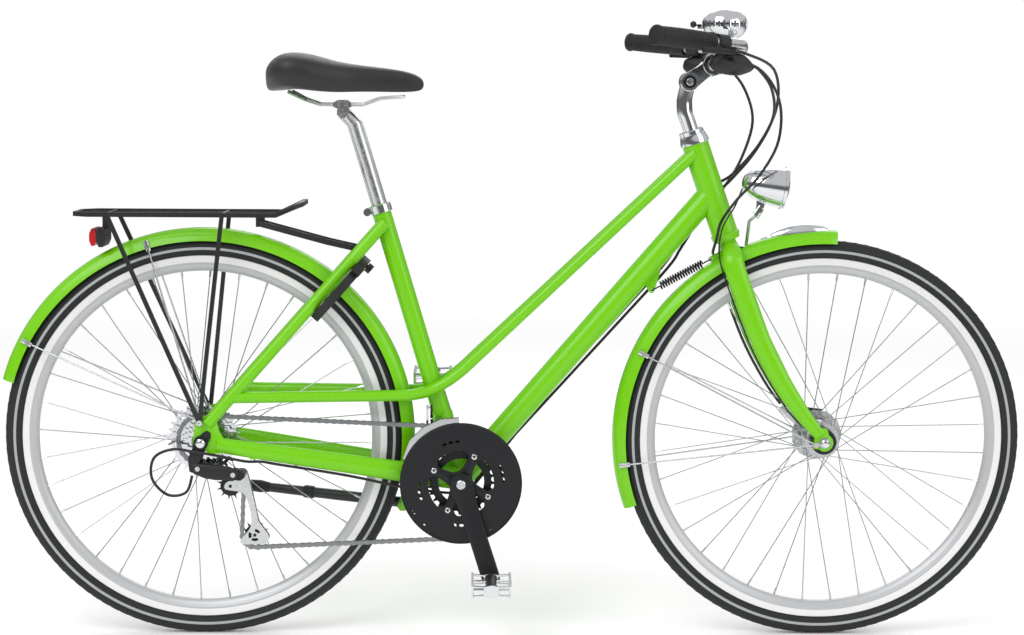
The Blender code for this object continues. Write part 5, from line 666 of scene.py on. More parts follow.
def sheetCut(name, outlines, thickness, centre, material, bevel=0.0002):
    # A flat plate square to the axle, from an outline and its holes, with softly broken edges
    curve = bpy.data.curves.new(name, "CURVE")
    curve.dimensions = "2D"
    curve.fill_mode = "BOTH"
    curve.extrude = thickness / 2 - bevel
    curve.bevel_depth = bevel
    curve.bevel_resolution = 0
    curve.offset = -bevel
    for outline in outlines:
        line = curve.splines.new("POLY")
        line.points.add(len(outline) - 1)
        line.use_cyclic_u = True
        for slot, (x, z) in zip(line.points, outline):
            slot.co = (x, z, 0, 1)
    bm = bmesh.new()
    bm.from_mesh(baked(addObject(name, curve)))
    bmesh.ops.remove_doubles(bm, verts=bm.verts, dist=1e-6)
    for vertex in bm.verts:
        x, z, y = vertex.co
        vertex.co = centre + Vector((x, y, z))
    return newObject(name, bm, material, 35)


def circlePoints(radius, steps=96):
    return [(radius * math.cos(a), radius * math.sin(a)) for a in around(steps)]


def arcSlot(radius, angle, spread, half, steps=5):
    # A short curved slot along a circle, its ends rounded
    out = []
    for sign in (1, -1):
        for k in range(steps)[::sign]:
            t = -1 + 2 * k / (steps - 1)
            r = radius + sign * half * math.sqrt(max(0.05, 1 - t ** 4))
            out.append((r * math.cos(angle + spread * t), r * math.sin(angle + spread * t)))
    return out


def pitchRadius(teeth):
    return drive["pitch"] / 2 / math.sin(math.pi / teeth)


def toothedOutline(teeth, phase):
    step = 2 * math.pi / teeth
    spots = [(pitchRadius(teeth) + r, phase + (k + f) * step) for k in range(teeth) for f, r in drive["tooth"]]
    return [(r * math.cos(a), r * math.sin(a)) for r, a in spots]


def lobedHole(wide, narrow, turn, steps=120):
    # A hole that draws in to the four bolt tabs
    out = []
    for a in around(steps):
        off = abs((a - turn + math.pi / 4) % (math.pi / 2) - math.pi / 4)
        t = min(1.0, max(0.0, (off - 0.13) / 0.22))
        r = narrow + (wide - narrow) * t * t * (3 - 2 * t)
        out.append((r * math.cos(a), r * math.sin(a)))
    return out


crank = {
    # Along the arm, half width, distance from the bike's middle
    "stations": mm([
        (-18, 6, 70), (-15, 13.5, 70), (-9, 18.5, 70), (0, 20.5, 70), (14, 20, 70.2), (42, 17, 71.5), (95, 15.8, 76.5),
        (145, 16, 80.5), (170, 16, 82), (180, 13.5, 82.6), (185, 7, 82.8),
    ]),
    "halfThick": 0.0062, "squareness": 0.45,
    "spindle": mm([(0, 0), (8.2, 0), (15, 30), (17.8, 32), (17.8, 66), (0, 66)]),
    "cap": mm([(0, 76), (7.8, 76), (7.8, 76.8), (6.6, 77.6), (4.8, 77.6), (4.2, 76.6), (0, 76.6)]),
    "pins": mm([(75, 185.5, 5.2), (74, 76.2, 7.5)]),
    "guardLip": mm([(100, -61.8), (105.2, -63), (105.8, -62.4), (105.8, -60.6), (100, -60.8)]),
    # Radius and line of the spider's arms, and their half width and thickness
    "armLine": mm([(10, -59), (26, -59.2), (44, -60), (59.5, -60.6)]),
    "armSizes": mm([(3.4, 15), (3, 10), (2.4, 8.2), (1.8, 6.6)]),
    # Guard windows: first angles, count and step in degrees, radius, half spread in degrees, half height
    "slots": (((5, 95, 182, 262), 3, 9.0, 0.0735, 3.2, 0.0022), ((212, 228, 302), 1, 0.0, 0.0960, 2.2, 0.0012)),
}


def crankEye(side):
    # Where the pedal screws in, half a turn apart on the two sides
    angle = drive["crankAngle"] + (0 if side < 0 else math.pi)
    return onWheel(layout["bottomBracket"], drive["crankLength"], angle)


def makeGuard(centre):
    d = drive
    slots = []
    for starts, count, step, radius, spread, half in crank["slots"]:
        for group in starts:
            slots += [arcSlot(radius, math.radians(group + step * k), math.radians(spread), half) for k in range(count)]
    outlines = [circlePoints(d["guardRadius"], 160), lobedHole(0.0570, 0.0470, d["spiderTurn"])] + slots
    plate = sheetCut("guard", outlines, 0.0016, centre + across * d["guardLine"], "blackAnodised", 0.0004)
    lip = turned("guard_lip", crank["guardLip"], centre, across, "blackAnodised", 160, 35)
    arms, bolts, sunk, sleeves = (bmesh.new() for k in range(4))
    for k in range(4):
        angle = d["spiderTurn"] + k * math.pi / 2
        rod(arms, [onWheel(centre, r, angle, y) for r, y in crank["armLine"]], crank["armSizes"], 20)
        spot = onWheel(centre, d["boltCircle"], angle)
        pin(sleeves, spot, -0.0605, -0.0400, 0.0060, 20)
        rod(bolts, [spot - across * y for y in (0.0620, 0.0645, 0.0650)], [0.0050, 0.0048, 0.0040], 24, forward)
        pin(sunk, spot, -0.0640, -0.06505, 0.0022, 6)
    spider = newObject("spider", arms, "blackAnodised")
    spacers = newObject("spacers", sleeves, "blackAnodised")
    heads = newObject("ring_bolts", bolts, "polishedAlloy")
    sockets = newObject("bolt_sockets", sunk, "blackNylon")
    place(join("guard_set", [plate, lip, spider, heads, sockets]), "crankset", "chain_guard")
    return spacers


def makeCrankset():
    d, c = drive, crank
    centre = layout["bottomBracket"]
    turn = d["spiderTurn"]
    holes = (lobedHole(0.0800, 0.0460, turn), lobedHole(0.0640, 0.0460, turn), circlePoints(0.0400))
    rings = []
    for line, teeth, hole in zip(d["ringLines"], d["ringTeeth"], holes):
        spot = centre + across * (line + d["thick"] / 2)
        rings.append(sheetCut("ring", [toothedOutline(teeth, d["phase"]), hole], d["thick"], spot, "blackAnodised"))
    spacers = makeGuard(centre)
    place(rings[0], "crankset", "outer_chainring")
    for side, name in ((-1, "right_crank"), (1, "left_crank")):
        eye = crankEye(side)
        along = (eye - centre).normalized()
        out = along.cross(across)
        rows = []
        for t, half, line in c["stations"]:
            spot = centre + along * t + across * (side * line)
            squared = [
                (softPower(math.cos(a), c["squareness"]), softPower(math.sin(a), c["squareness"]))
                for a in around(28)
            ]
            rows.append([spot + out * (half * u) + across * (c["halfThick"] * v) for u, v in squared])
        arm, pins = bmesh.new(), bmesh.new()
        ringsToMesh(arm, rows)
        for near, far, radius in c["pins"]:
            pin(pins, eye, side * near, side * far, radius, 20)
        things = [
            newObject("arm", arm, "blackAnodised", 40),
            turned("spindle", c["spindle"], centre, across * side, "blackAnodised", 40, 35),
            turned("cap", c["cap"], centre, across * side, "polishedAlloy", 40, 30),
            newObject("pedal_pin", pins, "polishedAlloy"),
        ]
        if side < 0:
            things += rings[1:] + [spacers]
        place(join(name + "_set", things), "crankset", name)


cassette = {
    "sprockets": (11, 13, 15, 17, 21, 23, 26, 30), "outer": -0.0625, "spacing": 0.0048, "thick": 0.0018,
    "driven": 21, "drivenPhase": 0.3, "phase": 0.9, "windows": 6,
    "freehub": mm([(8.8, -63.6), (13, -63.6), (16.5, -63), (17.6, -62), (18, -27.6), (8.8, -27.6)]),
}


def makeCassette():
    c = cassette
    centre = layout["rearAxle"]
    things = []
    for k, teeth in enumerate(c["sprockets"]):
        hole = 0.0175 if teeth < 20 else 0.0200
        outlines = [toothedOutline(teeth, c["drivenPhase" if teeth == c["driven"] else "phase"]), circlePoints(hole, 40)]
        if teeth > 20:
            reach = pitchRadius(teeth) - 0.0075
            for s in range(c["windows"]):
                turn = math.radians(15 + 60 * s + 9 * k)
                outlines.append(arcSlot(
                    (hole + reach) / 2 + 0.0015, turn, math.radians(17), (reach - hole) / 2 - 0.0028, 9,
                ))
        spot = centre + across * (c["outer"] + k * c["spacing"] + c["thick"] / 2)
        things.append(sheetCut("cog", outlines, c["thick"], spot, "chromePlate"))
    things.append(turned("freehub", c["freehub"], centre, across, "platedSteel", 48, 30))
    place(join("cassette_set", things), "cassette", "cassette")


pedal = {
    "inner": 0.0920, "outer": 0.1870, "teeth": 9, "rise": 0.0114, "tooth": 0.0022, "strip": 0.0298, "stripThick": 0.0042,
    # End frame and its window, x and z
    "frame": mm([
        (-33.5, -10.2), (-12, -8.5), (0, -11.2), (12, -8.5), (33.5, -10.2), (33.5, 10.2), (12, 8.5), (0, 11.2),
        (-12, 8.5), (-33.5, 10.2),
    ]),
    "window": mm([(30, -6.8), (13, -5.6), (13, 5.6), (30, 6.8)]), "bridges": (0.105, 0.1715),
    "barrel": mm([(0, 92), (11, 92), (11, 104), (8.2, 112), (8.2, 173), (8.8, 181), (8.8, 186), (7, 187), (0, 187)]),
}


def pedalStrip(eye, side, face):
    # A toothed strip, bent from plate, at the front or rear of the cage
    p = pedal
    count = p["teeth"] * 4
    bm = bmesh.new()
    rows = []
    for k in range(count + 1):
        y = side * (p["inner"] + 0.003 + (p["outer"] - p["inner"] - 0.006) * k / count)
        rise = p["rise"] + (p["tooth"] if k % 4 in (1, 2) else 0.0)
        edges = [(x, h) for x in (p["strip"], p["strip"] + p["stripThick"]) for h in (rise, -rise)]
        rows.append([bm.verts.new((eye.x + face * x, y, eye.z + h)) for x, h in edges])
    for low, high in zip(rows, rows[1:]):
        for a, b in ((0, 1), (1, 3), (2, 3), (0, 2)):
            bm.faces.new((low[a], low[b], high[b], high[a]))
    for row in (rows[0], rows[-1]):
        bm.faces.new((row[0], row[1], row[3], row[2]))
    return newObject("strip", bm, "chromePlate", 30)


def makePedals():
    p = pedal
    for side, name in ((-1, "right_pedal"), (1, "left_pedal")):
        eye = crankEye(side)
        cage = [pedalStrip(eye, side, face) for face in (-1, 1)]
        for reach in (p["inner"] + 0.002, p["outer"] - 0.002):
            holes = [[(s * x, z) for x, z in p["window"]] for s in (-1, 1)]
            cage.append(sheetCut(
                "end", [p["frame"]] + holes, 0.0060, eye + across * (side * reach), "chromePlate", 0.0006,
            ))
        for reach in p["bridges"]:
            bm = bmesh.new()
            spot = eye + across * (side * reach)
            rod(bm, [spot - forward * 0.0318, spot + forward * 0.0318], [(0.0050, 0.0020)] * 2, 12)
            cage.append(newObject("bridge", bm, "chromePlate"))
        cage.append(turned("barrel", p["barrel"], eye, across * side, "blackNylon", 40, 35))
        place(join(name + "_cage", cage), name, name)


makeCrankset()
makeCassette()
makePedals()
print("drivetrain made")

# Cockpit: bar, grips and bell
bar = {
    "path": mm([
        (339.8, 0, 998.7), (339.8, 22, 998.7), (343.8, 40, 999.9), (356.3, 75, 1007.2), (368.3, 125, 1018.2),
        (366.6, 177.8, 1026.9), (346.9, 204.1, 1029.3), (217.7, 294.9, 1042.1),
    ]),
    "radius": 0.0112, "end": (0.2140, 0.2975, 1.0425), "direction": (-0.8156, 0.5730, 0.0809),
    "gripLength": 0.122, "ribs": 17, "gripRadius": 0.0154, "swell": 0.0008, "groove": 0.0010,
    "gripFoot": mm([(0, 0), (11.4, 0), (15.2, 0), (16.3, 1.2), (16.3, 4.5)]),
    "gripEnd": mm([(15.8, -8.5), (16.7, -7), (16.7, -3), (15.5, -0.8), (10, 0.2), (0, 0.4)]),
}


def makeBar():
    b = bar
    half = sided(b["path"], 1)
    whole = sided(b["path"][:0:-1], -1) + half
    bm = bmesh.new()
    rod(bm, spline(whole, 8), b["radius"], 28, upward)
    place(newObject("bar_tube", bm, "polishedAlloy"), "steering", "handlebar")
    count, length = b["ribs"], b["gripLength"]
    step = (length - 0.0150) / count
    profile = list(b["gripFoot"])
    for k in range(count):
        at = 0.0060 + k * step
        swell = b["gripRadius"] + b["swell"] * math.sin(math.pi * k / (count - 1))
        low = swell - b["groove"]
        profile += [(low, at), (swell, at + step * 0.2), (swell, at + step * 0.75), (low, at + step * 0.9)]
    profile += [(radius, length + along) for radius, along in b["gripEnd"]]
    for name, side in (("right_grip", -1), ("left_grip", 1)):
        end, direction = sided([b["end"], b["direction"]], side)
        direction.normalize()
        start = end - direction * length
        place(turned(name + "_sleeve", profile, start, direction, "gripRubber", 48, 30), "steering", name)


bell = {
    "centre": (0.3493, -0.09, 1.0657), "clampAt": (0.3616, -0.0955, 1.0117), "clampAxis": (0.2, -0.95, 0.2), "ribs": 26,
    "dome": mm([
        (0, 26.8), (12, 26.2), (22, 23.6), (30, 18), (34.5, 12), (37.2, 5), (37.4, 1.2), (36.4, 1), (35.8, 5),
        (33.5, 11.2), (0, 20),
    ]),
    "belt": mm([(34, -6), (36.2, -4.6), (36.8, 0), (36.2, 4.6), (34, 6)]),
    "clamp": mm([(12.7, -5.2), (15.2, -5.2), (15.8, -4.4), (15.8, 4.4), (15.2, 5.2), (12.7, 5.2)]),
}


def makeBell():
    centre, clampAt = Vector(bell["centre"]), Vector(bell["clampAt"])
    things = []
    for name, profile in (("dome", bell["dome"]), ("base", [(r, -z) for r, z in bell["dome"]])):
        things.append(turned(name, profile, centre, upward, "chromePlate", 96, 28))
    things.append(turned("belt", bell["belt"], centre, upward, "blackNylon", 96, 30))
    rib = bmesh.new()
    spot = centre + forward * 0.0366
    rod(rib, [spot - upward * 0.0052, spot + upward * 0.0052], [(0.0024, 0.0016)] * 2, 8)
    turn = (0, 0, 2 * math.pi / bell["ribs"])
    sample = newObject("rib", rib, "chromePlate", 0)
    things.append(roundArray("bell_ribs", sample, bell["ribs"], centre, turn, "chromePlate"))
    things.append(turned("clamp", bell["clamp"], clampAt, Vector(bell["clampAxis"]), "chromePlate", 48, 30))
    stalk = bmesh.new()
    rod(stalk, [clampAt + Vector((-0.004, 0, 0.0130)), centre + Vector((-0.002, -0.002, -0.0256))], 0.0062, 20)
    things.append(newObject("stalk", stalk, "chromePlate"))
    # The lever's ear is the solid's own
    ear = bmesh.new()
    ear.from_mesh(nodes["bell"].data)
    bmesh.ops.remove_doubles(ear, verts=ear.verts, dist=1e-6)
    middles = [(face, face.calc_center_median()) for face in ear.faces]
    gone = [face for face, c in middles if not (c.x < 0.3125 and abs(c.z - 1.0607) < 0.0075)]
    bmesh.ops.delete(ear, geom=gone, context="FACES")
    things.append(newObject("bell_ear", ear, "chromePlate", 30))
    place(join("bell_set", things), "steering", "bell")


makeBar()
makeBell()
print("cockpit made")


stand = {
    "pivot": (-0.1930, 0.0300, 0.2255), "foot": (-0.4600, 0.0730, 0.2470),
    "leg": mm([(5.2, 9.4), (8.5, 9.5), (9.2, 9.6), (8, 8.2)]),
    # Radius, share of the leg's length, and distance past it
    "collar": ((0, 0.60), (10.5, 0.60), (11.2, 0.61), (11.2, 0.66), (10, 0.67), (0, 0.67)),
    "sole": mm([(0, 12), (8, 11.5), (10, 8.5), (11.2, -10), (8.4, -28), (0, -28)]),
}


def makeStand():
    pivot, foot = Vector(stand["pivot"]), Vector(stand["foot"])
    reach = (foot - pivot).length
    along = (foot - pivot).normalized()
    bm = bmesh.new()
    rod(bm, [pivot + along * r for r in (0.004, 0.030, reach * 0.46, reach - 0.026)], stand["leg"], 28)
    collar = [(radius / 1000, reach * share) for radius, share in stand["collar"]]
    sole = [(radius, reach + past) for radius, past in stand["sole"]]
    things = [newObject("leg_tube", bm, "blackPowder")]
    for name, profile, material in (("leg_collar", collar, "blackNylon"), ("leg_foot", sole, "gripRubber")):
        things.append(turned(name, profile, pivot, along, material, 40, 30))
    place(join("leg_skin", things), "kickstand")


coilSpring = {
    "start": (0.2385, 0, 0.6070), "end": (0.3418, 0, 0.6626), "lead": 0.0170, "turns": 17, "steps": 14,
    "radius": 0.0062, "wire": 0.0013,
    # Points of the hook, across and along from the end
    "hook": mm([(4.2, -0.8), (-3.6, 0.6), (-4, 4.5)]),
}


def makeSpring():
    s = coilSpring
    start, end = Vector(s["start"]), Vector(s["end"])
    along = (end - start).normalized()
    up = along.cross(across)
    lead, count = s["lead"], s["turns"] * s["steps"]
    pitch = ((end - start).length - 2 * lead) / count
    hook = list(s["hook"]) + [(-0.0012, lead - 0.0035)]
    path = [start + across * y + along * x for y, x in hook]
    for k in range(count + 1):
        a = 2 * math.pi * k / s["steps"] + math.pi
        out = across * (s["radius"] * math.cos(a)) + up * (s["radius"] * math.sin(a))
        path.append(start + along * (lead + pitch * k) + out)
    path += [end + across * y - along * x for y, x in hook[::-1]]
    coil = tube("spring_coil", path, s["wire"], "springSteel", 10)
    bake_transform(coil)
    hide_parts("stabiliser_spring")


makeStand()
makeSpring()
print("stand and spring made")

# Chain: wide and narrow links along the belt line, one link mesh each, set by Geometry Nodes
chain = {
    "pitch": 0.0127, "links": 114, "firstPin": (-0.5490, 0.3068),
    # x, z, teeth, turn and line of each wheel, in the order that the chain meets them
    "wheels": (
        (-0.538, 0.348, 21, -1, -0.0433), (-0.09177, 0.276, 48, -1, -0.0550),
        (-0.44912, 0.18217, 11, -1, -0.0433), (-0.4910, 0.2680, 11, 1, -0.0433),
    ),
    "plate": 0.0040, "waist": 0.0029, "sheet": 0.0008, "plateLines": (0.0034, 0.0024),
    "pin": 0.0018, "roller": 0.0034, "pinReach": 0.0005, "rollerGap": 0.0006,
}


def chainLine():
    # The closed belt line: a wrap on each wheel and a straight run to the next
    wheels = [(Vector((x, y, z)), pitchRadius(teeth) * turn) for x, z, teeth, turn, y in chain["wheels"]]
    runs = []
    for (a, ra), (b, rb) in zip(wheels, wheels[1:] + wheels[:1]):
        reach = math.hypot(b.x - a.x, b.z - a.z)
        angle = math.atan2(b.z - a.z, b.x - a.x) - math.asin((rb - ra) / reach)
        out = Vector((-math.sin(angle), 0, math.cos(angle)))
        runs.append((angle, a - out * ra, b - out * rb))
    line = []
    for k, (angle, start, end) in enumerate(runs):
        centre, radius = wheels[k]
        turn = 1 if radius > 0 else -1
        arrival = runs[k - 1][0]
        wrap = ((angle - arrival) * turn) % (2 * math.pi)
        steps = max(4, round(math.degrees(wrap) / 3))
        for s in range(steps):
            line.append(onWheel(centre, abs(radius), arrival - turn * math.pi / 2 + turn * wrap * s / steps))
        line += [start.lerp(end, s / 12) for s in range(12)]
    x, z = chain["firstPin"]
    nearest = min(range(len(line)), key=lambda k: math.hypot(line[k].x - x, line[k].z - z))
    return line[nearest:] + line[:nearest]


def chainTree(parity):
    # Every second link on a point of the belt line, turned along it and kept level across
    tree, given = openTree("chain_%d" % parity, Links="Int", Link="Object", Parity="Int")
    evened = addNode(tree, "GeometryNodeResampleCurve", None, Curve=given["Geometry"], Count=given["Links"])
    align = "FunctionNodeAlignRotationToVector"
    facing = addNode(tree, align, {"axis": "X"}, Vector=addNode(tree, "GeometryNodeInputTangent"))
    level = addNode(tree, align, {"axis": "Y", "pivot_axis": "X"}, Rotation=facing, Vector=(0, 1, 0))
    index = addNode(tree, "GeometryNodeInputIndex")
    half = addNode(tree, "ShaderNodeMath", {"operation": "MODULO"}, i0=index, i1=2.0)
    equal = {"data_type": "FLOAT", "operation": "EQUAL"}
    same = addNode(tree, "FunctionNodeCompare", equal, i0=half, i1=given["Parity"], Epsilon=0.1)
    link = addNode(tree, "GeometryNodeObjectInfo", None, Object=given["Link"])
    copies = {"Points": evened, "Selection": same, "Instance": link.outputs["Geometry"], "Rotation": level}
    placed = addNode(tree, "GeometryNodeInstanceOnPoints", None, **copies)
    real = addNode(tree, "GeometryNodeRealizeInstances", None, Geometry=placed)
    closeTree(tree, addNode(tree, "GeometryNodeSetMaterial", None, Geometry=real, Material=finish["platedSteel"]))
    return tree


def linkMesh(name, line, wide):
    # Two waisted side plates and the pins or rollers of one link, its length along X
    bm = bmesh.new()
    c = chain
    half = c["pitch"] / 2
    outline = []
    for sign in (-1, 1):
        turns = [sign * math.pi / 2 * -1 + math.pi * k / 8 for k in range(9)]
        outline += [(sign * half + c["plate"] * math.cos(a), c["plate"] * math.sin(a)) for a in turns]
        outline.append((0.0, sign * c["waist"]))
    for side in (-1, 1):
        faces = (side * line, side * (line - c["sheet"]))
        ringsToMesh(bm, [[Vector((x, y, z)) for x, z in outline] for y in faces])
    reach = line + c["pinReach"] if wide else line - c["rollerGap"]
    for x in (-half, half):
        pin(bm, Vector((x, 0, 0)), -reach, reach, c["pin"] if wide else c["roller"], 12)
    return newObject(name, bm, "platedSteel", 35)


def makeChain():
    line = chainLine()
    parts = []
    for parity in (0, 1):
        curve = bpy.data.curves.new("chain_line", "CURVE")
        curve.dimensions = "3D"
        path = curve.splines.new("POLY")
        path.points.add(len(line) - 1)
        path.use_cyclic_u = True
        for slot, point in zip(path.points, line):
            slot.co = (*point, 1.0)
        holder = addObject("chain_line", curve)
        link = linkMesh("link", chain["plateLines"][parity], parity == 0)
        useTree(holder, chainTree(parity), Links=chain["links"], Link=link, Parity=parity)
        parts.append(addObject("chain_part", baked(holder)))
        bpy.data.objects.remove(link)
    place(join("chain_links", parts), "frame_body", "chain")


makeChain()
print("chain made")


def circlePoint(radius, degrees, centre):
    a = math.radians(degrees)
    return (centre.x + radius * math.cos(a), centre.z + radius * math.sin(a))


# Rear derailleur: moulded body round the outer link, pressed cage with its open foot
derailleur = {
    "near": (-0.5440, -0.0705, 0.3030), "far": (-0.4825, -0.0705, 0.2925), "guide": (-0.4910, 0, 0.2680),
    "tension": (-0.44912, 0, 0.18217),
    # Body sections: place along the link, half height, drop and half thickness
    "body": mm([
        (-10, 6, 0, 2.2), (-4, 9.5, -1, 3.6), (14, 12.5, -2, 4.2), (34, 13.5, -1, 4.4), (54, 12, 1, 4), (66, 8.5, 1, 3),
        (70, 5, 1, 2),
    ]),
    # Arm from the pivot down to a three-cornered foot round the tension pulley
    "cage": mm([
        (-479, 295.5), (-470, 297.8), (-462.5, 293), (-456, 270), (-448, 235), (-442.5, 208), (-435, 196),
        (-426.2, 184), (-424, 177), (-429, 169), (-440, 166.2), (-460, 165.5),
        (-470, 166), (-474, 170), (-471.5, 177), (-459, 192), (-454.5, 208), (-459, 235), (-470, 256), (-499, 262),
        (-500, 272), (-493, 277), (-483, 279),
    ]),
    # Windows in the foot: from and to in degrees, inner and outer radius
    "windows": ((28, 88, 0.0060, 0.0105), (152, 212, 0.0060, 0.0110), (232, 308, 0.0060, 0.0105)),
    "plate": 0.0015, "plateLines": (-0.0490, -0.0376),
}


def makeDerailleur():
    d = derailleur
    near, far, guide, tension = (Vector(d[key]) for key in ("near", "far", "guide", "tension"))
    along = (far - near).normalized()
    up = along.cross(across)
    rows = []
    for t, half, drop, thick in d["body"]:
        spot = near + along * t + up * drop - across * 0.0052
        rows.append([
            spot + up * (half * softPower(math.cos(a), 0.7)) + across * (thick * math.sin(a))
            for a in around(24)
        ])
    bm = bmesh.new()
    ringsToMesh(bm, rows)
    body = newObject("moulded_body", bm, "blackNylon", 50)
    heads = bmesh.new()
    for spot in (near, near + along * 0.0615):
        pin(heads, spot, -0.0083, -0.0098, 0.0042, 20)
    heads = newObject("pivots", heads, "polishedAlloy")
    place(join("outer_link_skin", [body, heads]), "derailleur_outer_link")
    outlines = [[tuple(p) for p in spline([Vector(p) for p in d["cage"]], 4, True)]]
    for start, end, inner, outer in d["windows"]:
        there = [circlePoint(inner, a, tension) for a in range(start, end + 1, 10)]
        outlines.append(there + [circlePoint(outer, a, tension) for a in range(end, start - 1, -10)])
    plates = [sheetCut("cage_plate", outlines, d["plate"], across * y, "polishedAlloy", 0.0003) for y in d["plateLines"]]
    pins = bmesh.new()
    for spot in (guide, tension):
        pin(pins, spot, -0.0502, -0.0366, 0.0030, 18)
    pins = newObject("cage_pins", pins, "blackNylon")
    place(join("cage_set", plates + [pins]), "derailleur_cage", "derailleur_cage")


makeDerailleur()
print("derailleur made")


# Stem, lamp and control housings
stem = {
    "pivot": (0.2987, 0, 0.9689), "clamp": (0.3398, 0, 0.9987), "quillRadius": 0.0131,
    # Quill line up the steering axis, and ahead of it
    "quill": mm([(560, 0), (600, 0), (618, 0), (637, 5.5), (658, 18)]),
    "eye": mm([(0, -17.2), (15, -17.2), (16.4, -16), (16.4, 16), (15, 17.2), (0, 17.2)]),
    "arm": mm([(2, 17, 14), (14, 16.5, 12.8), (26, 15, 12.8), (40, 16.5, 15), (50.8, 20.5, 17.5)]),
    "collar": mm([(11.5, -21.8), (17.8, -21.8), (18.8, -20.8), (18.8, 20.8), (17.8, 21.8), (11.5, 21.8)]),
    "washer": mm([(0, 17), (11.2, 17), (11.8, 17.8), (11.2, 19.6), (0, 19.6)]),
    "bolt": mm([(0, 19), (6.2, 19), (6.2, 21.6), (5.2, 22.4), (3, 22.4), (2.6, 20.6), (0, 20.6)]),
}


def makeStem():
    s = stem
    axis = layout["steerAxis"].normalized()
    ahead = Vector((axis.z, 0, -axis.x))
    foot = layout["steerFoot"]
    pivot, clampAt = Vector(s["pivot"]), Vector(s["clamp"])
    quill, arm = bmesh.new(), bmesh.new()
    rod(quill, spline([foot + axis * up + ahead * out for up, out in s["quill"]], 8), s["quillRadius"], 36)
    along = (clampAt - pivot).normalized()
    rod(arm, [pivot + along * row[0] for row in s["arm"]], [row[1:] for row in s["arm"]], 36)
    things = [
        newObject("quill_tube", quill, "chromePlate", 50),
        turned("pivot_eye", s["eye"], pivot, across, "chromePlate", 56, 30),
        newObject("stem_arm_skin", arm, "chromePlate", 50),
        turned("bar_clamp", s["collar"], clampAt, across, "chromePlate", 56, 30),
    ]
    for side in (-1, 1):
        things.append(turned("washer", s["washer"], pivot, across * side, "blackAnodised", 40, 30))
        things.append(turned("bolt_head", s["bolt"], pivot, across * side, "chromePlate", 32, 30))
    place(join("stem_skin", things), "steering")


lamp = {
    "tail": (0.3939, 0, 0.7977), "axis": (0.9877, 0, -0.1564), "pivot": (0.42457, 0, 0.74833),
    "foot": (0.3822, 0, 0.6879),
    "shell": mm([
        (0, 0), (6, 0.6), (12, 3), (18, 8.5), (24, 18), (29, 31), (32.5, 46), (34.3, 60), (35.2, 70.5), (36.8, 71.2),
        (36.8, 76.2),
        (35.4, 77), (33.6, 76.4), (33, 70), (31, 56), (26.5, 36), (19, 18), (10, 9), (0, 7),
    ]),
    "lens": mm([
        (0, 83.2), (12, 82.2), (22, 79.8), (30, 76.8), (33.4, 74.5), (33.4, 72.2), (29, 74.2), (21, 77.2), (11, 79.6),
        (0, 80.4),
    ]),
    "strip": (0.0114, 0.0026), "cheek": (0.0022, 0.0062), "boltRadius": 0.0048,
}


def makeLamp():
    tail, axis, pivot, foot = (Vector(lamp[key]) for key in ("tail", "axis", "pivot", "foot"))
    place(turned("lamp_shell", lamp["shell"], tail, axis, "chromePlate", 96, 40), "headlight")
    place(turned("lamp_lens", lamp["lens"], tail, axis, "lampGlass", 96, 40), "headlight", "headlight_lens")
    line = [(foot, (-4, 0, 0)), (foot, (20, 0, -4)), (pivot, (-17, 0, -20)), (pivot, (-6.5, 0, -10.5))]
    bm = bmesh.new()
    rod(bm, [base + Vector(mm([step])[0]) for base, step in line], [lamp["strip"]] * 4, 12)
    for side in (-1, 1):
        cheek = [pivot + Vector(step) for step in mm([(-8, side * 6, -12.5), (3.2, side * 6, 5.2)])]
        rod(bm, cheek, [lamp["cheek"]] * 2, 12)
    pin(bm, pivot, -0.0125, -0.0080, lamp["boltRadius"], 6)
    pin(bm, pivot, 0.0080, 0.0125, lamp["boltRadius"], 6)
    place(newObject("lamp_strip", bm, "chromePlate", 40), "steering")


# Shifter housings under the levers
pods = {
    "line": mm([
        (312, 232, 1002), (321, 228, 1000), (340, 219, 998.5), (362, 208, 996.5), (377, 201, 993.5),
        (384, 197.5, 992.5),
    ]),
    "sizes": mm([(5, 8), (12, 15), (15, 18.5), (14.5, 17.5), (8.5, 10), (4, 4)]),
}


def makePods():
    sizes = [tuple(v) for v in spline([Vector(r) for r in pods["sizes"]], 4)]
    for side, name in ((-1, "right"), (1, "left")):
        bm = bmesh.new()
        rod(bm, spline(sided(pods["line"], side), 4), sizes, 24, Vector((0.57, 0.82 * side, 0)))
        place(newObject(name + "_pod", bm, "blackNylon", 60), "steering")


# Round dropout faces, dark dust rings, eyelet screws and dome nuts at both axles: name, finish, steps and profile
ends = {
    "front": (
        ("drop_face", "limeEnamel", 48, mm([(5.2, 50), (14.5, 50), (15, 50.6), (15, 56), (14.5, 56.6), (5.2, 56.6)])),
        ("washer", "polishedAlloy", 40, mm([(5.2, 56.6), (9.8, 56.6), (9.8, 57.8), (5.2, 57.8)])),
        ("dome_nut", "chromePlate", 24, mm([(0, 57.8), (7.8, 57.8), (7.8, 61.8), (7, 65), (4.6, 66.8), (0, 67.2)])),
    ),
    "dust": (
        ("dust_ring", "blackNylon", 56, mm([(8, 44), (20.5, 44), (21.9, 45.4), (21.9, 48.2), (20, 49.6), (8, 49.6)])),
    ),
    "rear": (
        ("rear_washer", "blackAnodised", 48, mm([(5.2, 77.2), (12.5, 77.2), (12.5, 79.2), (5.2, 79.2)])),
        ("rear_nut", "chromePlate", 24, mm([(0, 79), (8.5, 79), (8.5, 83), (7.6, 86.2), (5, 88), (0, 88.4)])),
    ),
    "screw": (
        (
            "eyelet_screw", "chromePlate", 32,
            mm([(0, 79), (5.2, 79), (5.2, 83.6), (4.2, 84.6), (2.4, 84.6), (2, 83), (0, 83)]),
        ),
    ),
    "eyelet": (-0.0017, 0, 0.0347), "brakeArm": mm([(476, 45, 394), (502, 45, 390), (525, 45, 389), (548, 45, 386)]),
}


